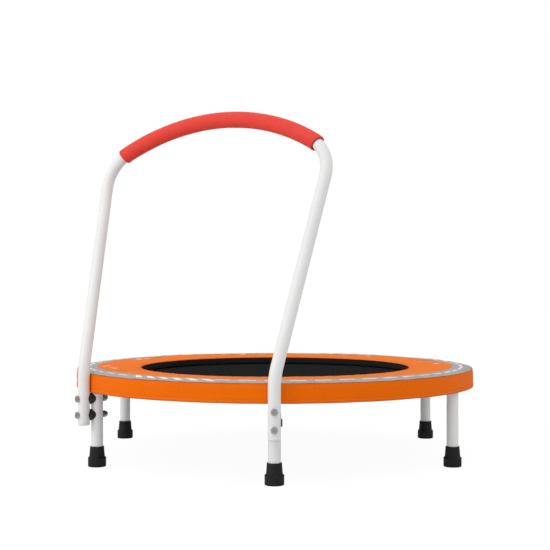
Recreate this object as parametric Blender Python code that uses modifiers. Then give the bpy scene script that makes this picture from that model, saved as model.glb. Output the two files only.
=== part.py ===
"""Mini trampoline, 36 inch, with a bolted-on handle.

Six screwed-in legs carry a round tube frame. A woven mat hangs inside it on coil springs,
a foam ring in a skirted cover lies over the springs, and a bent handle tube with a foam grip
is bolted to the two front legs. Metres, +Z up, origin on the floor under the mat's centre,
handle at the -Y side.
"""

import math

import bmesh
import bpy
from mathutils import Euler, Matrix, Vector

# Frame ring and legs
TUBE_RADIUS = 0.0127
TUBE_WALL = 0.0015
RING_RADIUS = 0.4445
RING_HEIGHT = 0.1825
RING_STEPS = 48
RING_SIDES = 12
LEG_COUNT = 6
LEG_NAMES = ("right", "back_right", "back_left", "left", "front_left", "front_right")
LEG_TOP = 0.1655
LEG_TOP_PLATE = 0.003
STUD_RADIUS = 0.0049
STUD_TOP = 0.1770
BOSS_RADIUS = 0.0110
BOSS_BOTTOM = 0.1660
BOSS_TOP = 0.1760
CLEARANCE = 0.0004

# Rubber feet
FOOT_TOP = 0.0440
FOOT_TOP_RADIUS = 0.0149
FOOT_SHOULDER_TOP = 0.0215
FOOT_SHOULDER_RADIUS = 0.0167
FOOT_BASE_TOP = 0.0200
FOOT_BASE_RADIUS = 0.0195
FOOT_EDGE_ROUND = 0.0030
FOOT_FLOOR = 0.0050

# Mat, webbing, V-rings and springs
MAT_RADIUS = 0.3460
MAT_THICKNESS = 0.0020
WEBBING_INNER = 0.3250
WEBBING_OUTER = 0.3520
WEBBING_THICKNESS = 0.0022
V_RING_ROOT = 0.3500
V_RING_BAR = 0.3660
V_RING_ROOT_HALF = 0.0110
V_RING_BAR_HALF = 0.0030
V_RING_WIRE = 0.00125
SPRING_COUNT = 24
SPRING_WIRE = 0.0009
SPRING_RADIUS = 0.0045
SPRING_GROOVE_RADIUS = 0.0036
SPRING_GROOVES = 2
SPRING_INNER_END = 0.3760
SPRING_OUTER_END = 0.4210
HOOK_BEND = 0.0030
SPRING_HOLE_RADIUS = 0.0030

# Pad: cover and foam
PAD_OPENING = 0.3145
PAD_OUTER = 0.4612
PAD_PEAK_RADIUS = 0.4300
PAD_PEAK = 0.2045
PAD_OPENING_TOP = 0.2014
PAD_OUTER_TOP = 0.2005
PAD_UNDERSIDE = 0.1885
SKIRT_BOTTOM = 0.1610
COVER_THICKNESS = 0.0012
COVER_EDGE_ROUND = 0.0015
FOAM_OVER_RING = 0.1957

# Handle
POST_RADIUS = 0.4746
POST_BOTTOM = 0.0935
POST_BEND_HEIGHT = 0.2144
POST_BEND_ROUND = 0.1400
HANDLE_LEAN = math.radians(18.38)
POST_FLARE = math.radians(5.71)
SHOULDER_ROUND = 0.0855
TOP_BAR_ROUND = 0.4682
TOP_BAR_HALF_ANGLE = math.radians(30.5)
GRIP_RADIUS = 0.0175
GRIP_BORE = 0.0136
GRIP_PAST_TOP_BAR = 0.0150
PLUG_FLANGE = 0.0025
PLUG_STEM = 0.0120

# Fasteners on the two front legs
BOLT_HEIGHTS = {"upper": 0.1480, "lower": 0.1130}
BOLT_RADIUS = 0.0040
BOLT_HOLE_RADIUS = 0.0045
BOLT_HEAD_ACROSS_FLATS = 0.0130
BOLT_HEAD_HEIGHT = 0.0055
NUT_HEX_HEIGHT = 0.0065
NUT_DOME_HEIGHT = 0.0055
NUT_DOME_RADIUS = 0.0058
NUT_BORE_DEPTH = 0.0085
SPACER_HALF_WIDTH = 0.0114
SPACER_HALF_HEIGHT = 0.0122
SPACER_HORN_CUT = 0.0010
SPACER_SIDES = 20
FRONT_LEGS = ("front_left", "front_right")


def clear_scene():
    for obj in list(bpy.data.objects):
        bpy.data.objects.remove(obj, do_unlink=True)


def new_collection(name):
    collection = bpy.data.collections.new(name)
    bpy.context.scene.collection.children.link(collection)
    return collection


clear_scene()
PARTS = new_collection("MiniTrampoline")
CUTTERS = new_collection("Cutters")


# ---------------------------------------------------------------- materials


def material(name, colour, roughness, metallic=0.0):
    made = bpy.data.materials.new(name)
    made.use_nodes = True
    shader = made.node_tree.nodes["Principled BSDF"]
    shader.inputs["Base Color"].default_value = (*colour, 1.0)
    shader.inputs["Roughness"].default_value = roughness
    shader.inputs["Metallic"].default_value = metallic
    return made


WHITE_STEEL = material("white_powder_coat", (0.80, 0.80, 0.79), 0.40)
BLACK_RUBBER = material("black_rubber", (0.020, 0.020, 0.020), 0.80)
BLACK_PLASTIC = material("black_plastic", (0.012, 0.012, 0.012), 0.50)
WHITE_PLASTIC = material("white_plastic", (0.78, 0.78, 0.77), 0.50)
ZINC_STEEL = material("zinc_steel", (0.55, 0.56, 0.57), 0.35, 1.0)
MAT_FABRIC = material("black_mat_fabric", (0.012, 0.012, 0.014), 0.75)
WEBBING_FABRIC = material("black_webbing", (0.015, 0.015, 0.015), 0.85)
ORANGE_VINYL = material("orange_vinyl", (0.85, 0.15, 0.008), 0.45)
PALE_FOAM = material("pale_foam", (0.75, 0.75, 0.72), 0.95)
RED_FOAM = material("red_foam", (0.75, 0.055, 0.035), 0.70)


# ---------------------------------------------------------------- helpers


def shade(mesh):
    mesh.shade_smooth()
    mesh.set_sharp_from_angle(angle=math.radians(35))


def place(name, mesh, look, collection=None):
    obj = bpy.data.objects.new(name, mesh)
    (collection or PARTS).objects.link(obj)
    if look is not None:
        mesh.materials.clear()
        mesh.materials.append(look)
    return obj


def helper(name, mesh):
    """A shape that only cuts or joins another one."""
    obj = place(name, mesh, None, CUTTERS)
    obj.hide_render = True
    obj.display_type = "WIRE"
    return obj


def boolean(obj, other, operation):
    modifier = obj.modifiers.new(operation.lower() + "_" + other.name, "BOOLEAN")
    modifier.operation = operation
    modifier.solver = "EXACT"
    modifier.object = other
    return modifier


def evaluated_mesh(obj):
    """The object's mesh with its modifiers applied, in world space."""
    bpy.context.view_layer.update()
    graph = bpy.context.evaluated_depsgraph_get()
    mesh = bpy.data.meshes.new_from_object(obj.evaluated_get(graph), depsgraph=graph)
    mesh.transform(obj.matrix_world)
    return mesh


def baked(obj):
    """Turns the object into plain mesh data and removes it."""
    mesh = evaluated_mesh(obj)
    bpy.data.objects.remove(obj, do_unlink=True)
    return mesh


def turned(name, profile, steps, closed=False):
    """A profile of (radius, height) points turned about Z; an outer side runs from top to bottom."""
    edges = [(i, i + 1) for i in range(len(profile) - 1)]
    if closed:
        edges.append((len(profile) - 1, 0))
    mesh = bpy.data.meshes.new(name)
    mesh.from_pydata([(r, 0.0, z) for r, z in profile], edges, [])
    obj = place(name, mesh, None)
    screw = obj.modifiers.new("turn", "SCREW")
    screw.axis = "Z"
    screw.angle = math.tau
    screw.steps = steps
    screw.render_steps = steps
    screw.use_merge_vertices = True
    screw.merge_threshold = 0.00001
    screw.use_smooth_shade = False
    return obj


def turned_mesh(name, profile, steps, closed=False):
    return baked(turned(name, profile, steps, closed))


def wire_mesh(name, points, radius, sides_level, cyclic=False, caps=True, radii=None):
    """A round wire or tube along points; radii scale it at each point."""
    curve = bpy.data.curves.new(name, "CURVE")
    curve.dimensions = "3D"
    curve.bevel_depth = radius
    curve.bevel_resolution = sides_level
    curve.use_fill_caps = caps
    spline = curve.splines.new("POLY")
    spline.points.add(len(points) - 1)
    for i, point in enumerate(points):
        spline.points[i].co = (*point, 1.0)
        spline.points[i].radius = radii[i] if radii else 1.0
    spline.use_cyclic_u = cyclic
    obj = bpy.data.objects.new(name, curve)
    CUTTERS.objects.link(obj)
    mesh = baked(obj)
    bpy.data.curves.remove(curve)
    work = bmesh.new()
    work.from_mesh(mesh)
    bmesh.ops.remove_doubles(work, verts=work.verts, dist=0.00001)
    bmesh.ops.recalc_face_normals(work, faces=work.faces)
    work.to_mesh(mesh)
    work.free()
    return mesh


def cylinder_mesh(name, radius, start, end, sides):
    """A cylinder from start to end."""
    start = Vector(start)
    end = Vector(end)
    along = end - start
    turn = along.to_track_quat("Z", "Y").to_matrix().to_4x4()
    work = bmesh.new()
    bmesh.ops.create_cone(
        work,
        cap_ends=True,
        segments=sides,
        radius1=radius,
        radius2=radius,
        depth=along.length,
        matrix=Matrix.Translation((start + end) / 2) @ turn,
    )
    mesh = bpy.data.meshes.new(name)
    work.to_mesh(mesh)
    work.free()
    return mesh


def joined(name, meshes):
    """One mesh that holds several separate bodies, for use as a helper."""
    work = bmesh.new()
    for mesh in meshes:
        work.from_mesh(mesh)
    result = bpy.data.meshes.new(name)
    work.to_mesh(result)
    work.free()
    return result


def turned_copies(mesh, angles):
    """Copies of a mesh turned about Z."""
    copies = []
    for angle in angles:
        copy = mesh.copy()
        copy.transform(Matrix.Rotation(angle, 4, "Z"))
        copies.append(copy)
    return copies


def arc(centre, radius, start, end, steps):
    """Points (s, t) on an arc; an angle is measured from the +t direction towards +s."""
    found = []
    for i in range(steps + 1):
        angle = start + (end - start) * i / steps
        found.append((centre[0] + radius * math.sin(angle), centre[1] + radius * math.cos(angle)))
    return found


LEG_ANGLES = {name: math.tau * i / LEG_COUNT for i, name in enumerate(LEG_NAMES)}
SPRING_STEP = math.tau / SPRING_COUNT
SPRING_ANGLES = [SPRING_STEP * (i + 0.5) for i in range(SPRING_COUNT)]


def on_circle(radius, angle, height):
    return Vector((radius * math.cos(angle), radius * math.sin(angle), height))


# ---------------------------------------------------------------- frame


def make_frame_ring():
    """A hollow ring with six welded leg bosses and a row of spring holes along its inner side."""
    bpy.ops.mesh.primitive_torus_add(
        major_radius=RING_RADIUS,
        minor_radius=TUBE_RADIUS,
        major_segments=RING_STEPS,
        minor_segments=RING_SIDES,
        location=(0, 0, RING_HEIGHT),
        rotation=(0, 0, math.pi / RING_STEPS),
    )
    torus = bpy.context.object
    shell = torus.modifiers.new("wall", "SOLIDIFY")
    shell.thickness = TUBE_WALL
    shell.offset = -1.0
    ring = place("frame_ring", baked(torus), WHITE_STEEL)
    bosses = []
    bores = []
    for angle in LEG_ANGLES.values():
        bosses.append(
            cylinder_mesh(
                "boss",
                BOSS_RADIUS,
                on_circle(RING_RADIUS, angle, BOSS_BOTTOM),
                on_circle(RING_RADIUS, angle, BOSS_TOP),
                12,
            )
        )
        bores.append(
            cylinder_mesh(
                "bore",
                STUD_RADIUS + CLEARANCE,
                on_circle(RING_RADIUS, angle, BOSS_BOTTOM - TUBE_WALL),
                on_circle(RING_RADIUS, angle, BOSS_TOP + TUBE_WALL),
                12,
            )
        )
    for angle in SPRING_ANGLES:
        bores.append(
            cylinder_mesh(
                "spring_hole",
                SPRING_HOLE_RADIUS,
                on_circle(RING_RADIUS - TUBE_RADIUS - 0.004, angle, RING_HEIGHT),
                on_circle(RING_RADIUS - TUBE_RADIUS + 0.006, angle, RING_HEIGHT),
                6,
            )
        )
    boolean(ring, helper("ring_bosses", joined("ring_bosses", bosses)), "UNION")
    boolean(ring, helper("ring_holes", joined("ring_holes", bores)), "DIFFERENCE")
    shade(ring.data)


def bolt_hole_mesh(angle):
    """Two radial holes through a front leg and the post in front of it."""
    holes = []
    for height in BOLT_HEIGHTS.values():
        inside = on_circle(RING_RADIUS - 2 * TUBE_RADIUS, angle, height)
        outside = on_circle(POST_RADIUS + 2 * TUBE_RADIUS, angle, height)
        holes.append(cylinder_mesh("bolt_hole", BOLT_HOLE_RADIUS, inside, outside, 12))
    return joined("bolt_holes", holes)


def make_legs():
    profile = [
        (0.0, STUD_TOP),
        (STUD_RADIUS, STUD_TOP),
        (STUD_RADIUS, LEG_TOP),
        (TUBE_RADIUS, LEG_TOP),
        (TUBE_RADIUS, FOOT_FLOOR + CLEARANCE),
        (TUBE_RADIUS - TUBE_WALL, FOOT_FLOOR + CLEARANCE),
        (TUBE_RADIUS - TUBE_WALL, LEG_TOP - LEG_TOP_PLATE),
        (0.0, LEG_TOP - LEG_TOP_PLATE),
    ]
    for name, angle in LEG_ANGLES.items():
        mesh = turned_mesh("leg", profile, 16)
        mesh.transform(Matrix.Translation(on_circle(RING_RADIUS, angle, 0)))
        leg = place("leg_" + name, mesh, WHITE_STEEL)
        if name in FRONT_LEGS:
            boolean(leg, BOLT_HOLES[name], "DIFFERENCE")
        shade(mesh)


def make_feet():
    bore = TUBE_RADIUS + CLEARANCE
    profile = [
        (0.0, FOOT_FLOOR),
        (bore, FOOT_FLOOR),
        (bore, FOOT_TOP),
        (FOOT_TOP_RADIUS, FOOT_TOP),
        (FOOT_SHOULDER_RADIUS, FOOT_SHOULDER_TOP),
        (FOOT_BASE_RADIUS, FOOT_BASE_TOP),
        (FOOT_BASE_RADIUS, FOOT_EDGE_ROUND),
        (FOOT_BASE_RADIUS - 0.3 * FOOT_EDGE_ROUND, 0.3 * FOOT_EDGE_ROUND),
        (FOOT_BASE_RADIUS - FOOT_EDGE_ROUND, 0.0),
        (0.0, 0.0),
    ]
    mesh = turned_mesh("rubber_foot", profile, 16)
    shade(mesh)
    for name, angle in LEG_ANGLES.items():
        foot = place("rubber_foot_" + name, mesh, BLACK_RUBBER)
        foot.location = on_circle(RING_RADIUS, angle, 0)


# ---------------------------------------------------------------- mat and springs


def make_mat(mover):
    top = RING_HEIGHT + MAT_THICKNESS / 2
    profile = [
        (0.0, top),
        (MAT_RADIUS, top),
        (MAT_RADIUS, top - MAT_THICKNESS),
        (0.0, top - MAT_THICKNESS),
    ]
    mesh = turned_mesh("jump_mat", profile, RING_STEPS)
    mat = place("jump_mat", mesh, MAT_FABRIC)
    shade(mesh)
    follow(mat, mover)


def v_ring_mesh():
    """A flat wire loop: its wide side sits in the webbing, and a spring hooks on its narrow side."""
    loop = [
        (V_RING_ROOT, -V_RING_ROOT_HALF, RING_HEIGHT),
        (V_RING_ROOT, V_RING_ROOT_HALF, RING_HEIGHT),
        (V_RING_BAR, V_RING_BAR_HALF, RING_HEIGHT),
        (V_RING_BAR, -V_RING_BAR_HALF, RING_HEIGHT),
    ]
    return wire_mesh("v_ring", loop, V_RING_WIRE, 0, cyclic=True)


def make_webbing(mover):
    """A band under the mat's edge that turns up round it and holds a V-ring for each spring."""
    mat_bottom = RING_HEIGHT - MAT_THICKNESS / 2
    band_top = mat_bottom - CLEARANCE
    band_bottom = band_top - WEBBING_THICKNESS
    rim_top = RING_HEIGHT + WEBBING_THICKNESS
    rim_inner = MAT_RADIUS + 1.5 * CLEARANCE
    profile = [
        (rim_inner, rim_top),
        (WEBBING_OUTER, rim_top),
        (WEBBING_OUTER, band_bottom),
        (WEBBING_INNER, band_bottom),
        (WEBBING_INNER, band_top),
        (rim_inner, band_top),
    ]
    webbing = place("mat_webbing", turned_mesh("band", profile, RING_STEPS, closed=True), WEBBING_FABRIC)
    v_rings = joined("v_rings", turned_copies(v_ring_mesh(), SPRING_ANGLES))
    boolean(webbing, helper("v_rings", v_rings), "UNION")
    follow(webbing, mover)


def make_springs():
    """Each spring lies along +X before it is turned into place: hook, close-wound body, hook."""
    z = RING_HEIGHT
    wire = SPRING_WIRE / SPRING_RADIUS
    points = [
        (V_RING_BAR + 0.6 * HOOK_BEND, 0, z - HOOK_BEND),
        (V_RING_BAR - 0.4 * HOOK_BEND, 0, z - HOOK_BEND),
        (V_RING_BAR - 1.1 * HOOK_BEND, 0, z),
        (V_RING_BAR - 0.4 * HOOK_BEND, 0, z + HOOK_BEND),
        (V_RING_BAR + 1.2 * HOOK_BEND, 0, z + HOOK_BEND),
        (SPRING_INNER_END - 2 * SPRING_WIRE, 0, z),
    ]
    radii = [wire] * len(points)
    length = SPRING_OUTER_END - SPRING_INNER_END
    body_points = 2 * SPRING_GROOVES + 1
    for i in range(body_points):
        points.append((SPRING_INNER_END + length * i / (body_points - 1), 0, z))
        radii.append(1.0 if i % 2 == 0 else SPRING_GROOVE_RADIUS / SPRING_RADIUS)
    cavity = RING_RADIUS - TUBE_RADIUS + 2.6 * TUBE_WALL
    points += [
        (SPRING_OUTER_END + 2 * SPRING_WIRE, 0, z),
        (cavity, 0, z),
        (cavity + SPRING_WIRE / 2, 0, z - 1.5 * HOOK_BEND),
    ]
    radii += [wire, wire, wire]
    mesh = wire_mesh("spring", points, SPRING_RADIUS, 1, radii=radii)
    shade(mesh)
    for i, angle in enumerate(SPRING_ANGLES):
        spring = place(f"spring_{i + 1:02d}", mesh, ZINC_STEEL)
        spring.rotation_euler = Euler((0, 0, angle))


# ---------------------------------------------------------------- pad


def crown(radius):
    """Height of the pad's top at a radius: highest over the frame ring, lower at both edges."""
    if radius < PAD_PEAK_RADIUS:
        share = (PAD_PEAK_RADIUS - radius) / (PAD_PEAK_RADIUS - PAD_OPENING)
        return PAD_PEAK - (PAD_PEAK - PAD_OPENING_TOP) * share**2
    share = (radius - PAD_PEAK_RADIUS) / (PAD_OUTER - PAD_PEAK_RADIUS)
    return PAD_PEAK - (PAD_PEAK - PAD_OUTER_TOP) * share**2


def between(start, end, steps):
    return [start + (end - start) * i / steps for i in range(steps + 1)]


def make_pad_cover():
    """A thin skin over the foam with a straight skirt outside."""
    first = PAD_OPENING + COVER_EDGE_ROUND
    last = PAD_OUTER - COVER_EDGE_ROUND
    radii = between(first, PAD_PEAK_RADIUS, 2) + between(PAD_PEAK_RADIUS, last, 2)[1:]
    profile = [(PAD_OPENING, PAD_UNDERSIDE), (PAD_OPENING, crown(first) - COVER_EDGE_ROUND)]
    profile += [(radius, crown(radius)) for radius in radii]
    profile += [(PAD_OUTER, crown(last) - COVER_EDGE_ROUND), (PAD_OUTER, SKIRT_BOTTOM)]
    cover = turned("skin", profile, RING_STEPS)
    shell = cover.modifiers.new("thickness", "SOLIDIFY")
    shell.thickness = COVER_THICKNESS
    shell.offset = -1.0
    mesh = baked(cover)
    place("pad_cover", mesh, ORANGE_VINYL)
    shade(mesh)


def make_pad_foam():
    """Foam that is thick over the springs and thinner over the frame ring."""
    skin = COVER_THICKNESS + 1.5 * CLEARANCE
    inner = PAD_OPENING + skin
    outer = RING_RADIUS + TUBE_RADIUS
    radii = between(inner + COVER_EDGE_ROUND, outer - 2 * COVER_EDGE_ROUND, 3)
    profile = [(radius, crown(radius) - skin) for radius in radii]
    profile += [
        (outer, crown(outer) - skin - COVER_EDGE_ROUND),
        (outer, FOAM_OVER_RING),
        (RING_RADIUS - 0.6 * TUBE_RADIUS, FOAM_OVER_RING),
        (RING_RADIUS - 1.05 * TUBE_RADIUS, PAD_UNDERSIDE),
        (inner, PAD_UNDERSIDE),
        (inner, crown(inner) - skin - COVER_EDGE_ROUND),
    ]
    mesh = turned_mesh("pad_foam", profile, RING_STEPS, closed=True)
    place("pad_foam", mesh, PALE_FOAM)
    shade(mesh)


# ---------------------------------------------------------------- handle


def handle_plane_point(s, t):
    """A point of the leaning handle plane: s sideways from the middle, t up the plane from the bends."""
    y = -POST_RADIUS * math.cos(math.pi / LEG_COUNT) + t * math.sin(HANDLE_LEAN)
    return Vector((s, y, POST_BEND_HEIGHT + t * math.cos(HANDLE_LEAN)))


def shoulder():
    """Centre of the shoulder bend and the end of the straight post below it, as (s, t)."""
    centre_s = (TOP_BAR_ROUND - SHOULDER_ROUND) * math.sin(TOP_BAR_HALF_ANGLE)
    post_s = POST_RADIUS * math.sin(math.pi / LEG_COUNT)
    end_s = centre_s + SHOULDER_ROUND * math.cos(POST_FLARE)
    end_t = (end_s - post_s) / math.tan(POST_FLARE)
    centre_t = end_t + SHOULDER_ROUND * math.sin(POST_FLARE)
    return (centre_s, centre_t), (end_s, end_t)


def top_bar_centre():
    (_, centre_t), _ = shoulder()
    return (0.0, centre_t - (TOP_BAR_ROUND - SHOULDER_ROUND) * math.cos(TOP_BAR_HALF_ANGLE))


def lower_bend(steps):
    """Points round the bend between the upright foot of the right post and its leaning part."""
    corner = handle_plane_point(POST_RADIUS * math.sin(math.pi / LEG_COUNT), 0)
    _, (end_s, end_t) = shoulder()
    up = Vector((0, 0, 1))
    lean = (handle_plane_point(end_s, end_t) - corner).normalized()
    turn = up.angle(lean)
    reach = POST_BEND_ROUND * math.tan(turn / 2)
    start = corner - up * reach
    sideways = (lean - up * up.dot(lean)).normalized()
    centre = start + sideways * POST_BEND_ROUND
    found = []
    for i in range(steps + 1):
        angle = turn * i / steps
        offset = up * math.sin(angle) - sideways * math.cos(angle)
        found.append(centre + offset * POST_BEND_ROUND)
    return found


def right_half_of_handle():
    """Centre line from the right post's foot to the middle of the top bar."""
    corner = handle_plane_point(POST_RADIUS * math.sin(math.pi / LEG_COUNT), 0)
    centre, _ = shoulder()
    points = [Vector((corner.x, corner.y, POST_BOTTOM))]
    points += lower_bend(3)
    bend = arc(centre, SHOULDER_ROUND, math.pi / 2 + POST_FLARE, TOP_BAR_HALF_ANGLE, 5)
    bar = arc(top_bar_centre(), TOP_BAR_ROUND, TOP_BAR_HALF_ANGLE, 0.0, 5)
    points += [handle_plane_point(s, t) for s, t in bend + bar[1:]]
    return points


def mirrored(points):
    """The points, which end on the plane of symmetry, and then their mirror images."""
    return points + [Vector((-p.x, p.y, p.z)) for p in reversed(points[:-1])]


def tube_with_wall(name, points, radius, wall, look):
    """A hollow tube that is open at both ends."""
    mesh = wire_mesh(name, points, radius, 3, caps=False)
    tube = place(name, mesh, look)
    shell = tube.modifiers.new("wall", "SOLIDIFY")
    shell.thickness = wall
    shell.offset = -1.0
    shade(mesh)
    return tube


def make_handle():
    centre_line = mirrored(right_half_of_handle())
    tube = tube_with_wall("handle_tube", centre_line, TUBE_RADIUS, TUBE_WALL, WHITE_STEEL)
    for name in FRONT_LEGS:
        boolean(tube, BOLT_HOLES[name], "DIFFERENCE")


def make_grip():
    centre, _ = shoulder()
    past = GRIP_PAST_TOP_BAR / SHOULDER_ROUND
    bend = arc(centre, SHOULDER_ROUND, TOP_BAR_HALF_ANGLE + past, TOP_BAR_HALF_ANGLE, 1)
    bar = arc(top_bar_centre(), TOP_BAR_ROUND, TOP_BAR_HALF_ANGLE, 0.0, 5)
    points = [handle_plane_point(s, t) for s, t in bend + bar[1:]]
    tube_with_wall("foam_grip", mirrored(points), GRIP_RADIUS, GRIP_RADIUS - GRIP_BORE, RED_FOAM)


def make_plugs():
    """End plugs of the posts: a low dome outside and a stem in the tube."""
    stem = TUBE_RADIUS - TUBE_WALL - 2 * CLEARANCE
    profile = [
        (0.0, PLUG_STEM),
        (stem, PLUG_STEM),
        (stem, -CLEARANCE),
        (TUBE_RADIUS, -CLEARANCE),
        (TUBE_RADIUS * 0.93, -0.6 * PLUG_FLANGE),
        (TUBE_RADIUS * 0.78, -PLUG_FLANGE),
        (0.0, -PLUG_FLANGE),
    ]
    mesh = turned_mesh("post_plug", profile, 16)
    shade(mesh)
    for name in FRONT_LEGS:
        plug = place("post_plug_" + name, mesh, WHITE_PLASTIC)
        plug.location = on_circle(POST_RADIUS, LEG_ANGLES[name], POST_BOTTOM)


# ---------------------------------------------------------------- fasteners


def bolt_mesh():
    """A hex bolt along +X: its head's bearing face is at the post's outer side."""
    bearing = POST_RADIUS + TUBE_RADIUS + CLEARANCE
    tip = RING_RADIUS - TUBE_RADIUS - NUT_BORE_DEPTH + CLEARANCE
    corner_radius = BOLT_HEAD_ACROSS_FLATS / math.sqrt(3)
    head = cylinder_mesh("bolt", corner_radius, (bearing, 0, 0), (bearing + BOLT_HEAD_HEIGHT, 0, 0), 6)
    shank = cylinder_mesh("shank", BOLT_RADIUS, (bearing + BOLT_RADIUS, 0, 0), (tip, 0, 0), 12)
    bolt = place("bolt", head, None, CUTTERS)
    shank_helper = place("shank", shank, None, CUTTERS)
    boolean(bolt, shank_helper, "UNION")
    mesh = baked(bolt)
    bpy.data.objects.remove(shank_helper, do_unlink=True)
    return mesh


def nut_mesh():
    """A cap nut along +X: a hexagon against the leg's inner side, then a dome, with a blind bore."""
    bearing = RING_RADIUS - TUBE_RADIUS - CLEARANCE
    hex_end = bearing - NUT_HEX_HEIGHT
    corner_radius = BOLT_HEAD_ACROSS_FLATS / math.sqrt(3)
    hexagon = cylinder_mesh("nut", corner_radius, (hex_end, 0, 0), (bearing, 0, 0), 6)
    dome_profile = [
        (0.0, NUT_DOME_HEIGHT),
        (0.55 * NUT_DOME_RADIUS, 0.86 * NUT_DOME_HEIGHT),
        (0.90 * NUT_DOME_RADIUS, 0.45 * NUT_DOME_HEIGHT),
        (NUT_DOME_RADIUS, 0.0),
        (NUT_DOME_RADIUS, -NUT_HEX_HEIGHT / 2),
        (0.0, -NUT_HEX_HEIGHT / 2),
    ]
    dome = turned_mesh("dome", dome_profile, 12)
    dome.transform(Matrix.Translation((hex_end, 0, 0)) @ Matrix.Rotation(-math.pi / 2, 4, "Y"))
    bore_start = (bearing + CLEARANCE, 0, 0)
    bore_end = (bearing - NUT_BORE_DEPTH, 0, 0)
    bore = cylinder_mesh("nut_bore", BOLT_HOLE_RADIUS, bore_start, bore_end, 12)
    nut = place("nut", hexagon, None, CUTTERS)
    dome_helper = place("dome", dome, None, CUTTERS)
    bore_helper = place("nut_bore", bore, None, CUTTERS)
    boolean(nut, dome_helper, "UNION")
    boolean(nut, bore_helper, "DIFFERENCE")
    mesh = baked(nut)
    bpy.data.objects.remove(dome_helper, do_unlink=True)
    bpy.data.objects.remove(bore_helper, do_unlink=True)
    return mesh


def spacer_mesh():
    """A short oval bar along +X, hollowed at both ends to fit the leg and the post."""
    tube_room = TUBE_RADIUS + CLEARANCE
    start = (RING_RADIUS + SPACER_HORN_CUT, 0, 0)
    end = (POST_RADIUS - SPACER_HORN_CUT, 0, 0)
    body = cylinder_mesh("spacer", SPACER_HALF_HEIGHT, start, end, SPACER_SIDES)
    body.transform(Matrix.Diagonal((1, SPACER_HALF_WIDTH / SPACER_HALF_HEIGHT, 1, 1)))
    half = 2 * SPACER_HALF_HEIGHT
    cuts = [
        cylinder_mesh("leg_room", tube_room, (RING_RADIUS, 0, -half), (RING_RADIUS, 0, half), 24),
        cylinder_mesh("post_room", tube_room, (POST_RADIUS, 0, -half), (POST_RADIUS, 0, half), 24),
    ]
    bore = cylinder_mesh("spacer_bore", BOLT_HOLE_RADIUS, (RING_RADIUS, 0, 0), (POST_RADIUS, 0, 0), 12)
    spacer = place("spacer", body, None, CUTTERS)
    rooms = place("tube_rooms", joined("tube_rooms", cuts), None, CUTTERS)
    bore_helper = place("spacer_bore", bore, None, CUTTERS)
    boolean(spacer, rooms, "DIFFERENCE")
    boolean(spacer, bore_helper, "DIFFERENCE")
    mesh = baked(spacer)
    bpy.data.objects.remove(rooms, do_unlink=True)
    bpy.data.objects.remove(bore_helper, do_unlink=True)
    return mesh


def make_fasteners():
    shapes = {
        "handle_bolt": (bolt_mesh(), ZINC_STEEL),
        "cap_nut": (nut_mesh(), ZINC_STEEL),
        "saddle_spacer": (spacer_mesh(), BLACK_PLASTIC),
    }
    for kind, (mesh, look) in shapes.items():
        shade(mesh)
        for leg in FRONT_LEGS:
            for level, height in BOLT_HEIGHTS.items():
                piece = place(f"{kind}_{leg}_{level}", mesh, look)
                piece.location = (0, 0, height)
                piece.rotation_euler = Euler((0, 0, LEG_ANGLES[leg]))


# ---------------------------------------------------------------- assembly


def make_mover():
    """An empty on the line that the mat moves along when it is jumped on."""
    mover = bpy.data.objects.new("mat_bounce_axis", None)
    mover.location = (0, 0, RING_HEIGHT)
    PARTS.objects.link(mover)
    bpy.context.view_layer.update()
    return mover


def follow(obj, mover):
    obj.parent = mover
    obj.matrix_parent_inverse = mover.matrix_world.inverted()


BOLT_HOLES = {}
for leg_name in FRONT_LEGS:
    BOLT_HOLES[leg_name] = helper("bolt_holes_" + leg_name, bolt_hole_mesh(LEG_ANGLES[leg_name]))
MAT_MOVER = make_mover()
make_frame_ring()
make_legs()
make_feet()
make_mat(MAT_MOVER)
make_webbing(MAT_MOVER)
make_springs()
make_pad_cover()
make_pad_foam()
make_handle()
make_grip()
make_plugs()
make_fasteners()
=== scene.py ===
"""Looks of the mini trampoline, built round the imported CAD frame. Metres, +Z up."""

from math import atan2, copysign, cos, dist, exp, hypot, log, pi, radians, sin, sqrt, tan, tau

import bmesh
import bpy
from mathutils import Matrix, Vector, noise


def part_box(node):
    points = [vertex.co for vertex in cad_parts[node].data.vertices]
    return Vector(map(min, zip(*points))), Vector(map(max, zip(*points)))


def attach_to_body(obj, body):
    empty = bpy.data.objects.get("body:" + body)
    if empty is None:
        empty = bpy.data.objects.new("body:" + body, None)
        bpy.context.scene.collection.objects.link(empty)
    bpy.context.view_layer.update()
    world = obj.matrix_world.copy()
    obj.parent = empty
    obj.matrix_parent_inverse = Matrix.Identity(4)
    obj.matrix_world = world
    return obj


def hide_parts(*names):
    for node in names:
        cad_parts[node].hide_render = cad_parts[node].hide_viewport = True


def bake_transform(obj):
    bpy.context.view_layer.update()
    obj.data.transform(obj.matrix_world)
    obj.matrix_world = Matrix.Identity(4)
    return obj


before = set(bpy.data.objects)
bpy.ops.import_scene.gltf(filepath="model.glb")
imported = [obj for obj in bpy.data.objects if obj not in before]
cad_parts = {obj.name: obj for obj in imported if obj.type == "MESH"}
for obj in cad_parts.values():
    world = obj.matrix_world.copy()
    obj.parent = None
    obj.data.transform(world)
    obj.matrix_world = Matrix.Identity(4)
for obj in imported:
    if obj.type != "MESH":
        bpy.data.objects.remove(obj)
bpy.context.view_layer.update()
UP = Vector((0, 0, 1))
SAME_POINT = 1e-6
SHARP_EDGE = radians(40)
BEVELLED_EDGE = radians(38)


# ---- sizes from the frame


def centre_of(node):
    low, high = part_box(node)
    return (low + high) / 2


def half_size(node):
    low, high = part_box(node)
    return (high - low) / 2


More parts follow.
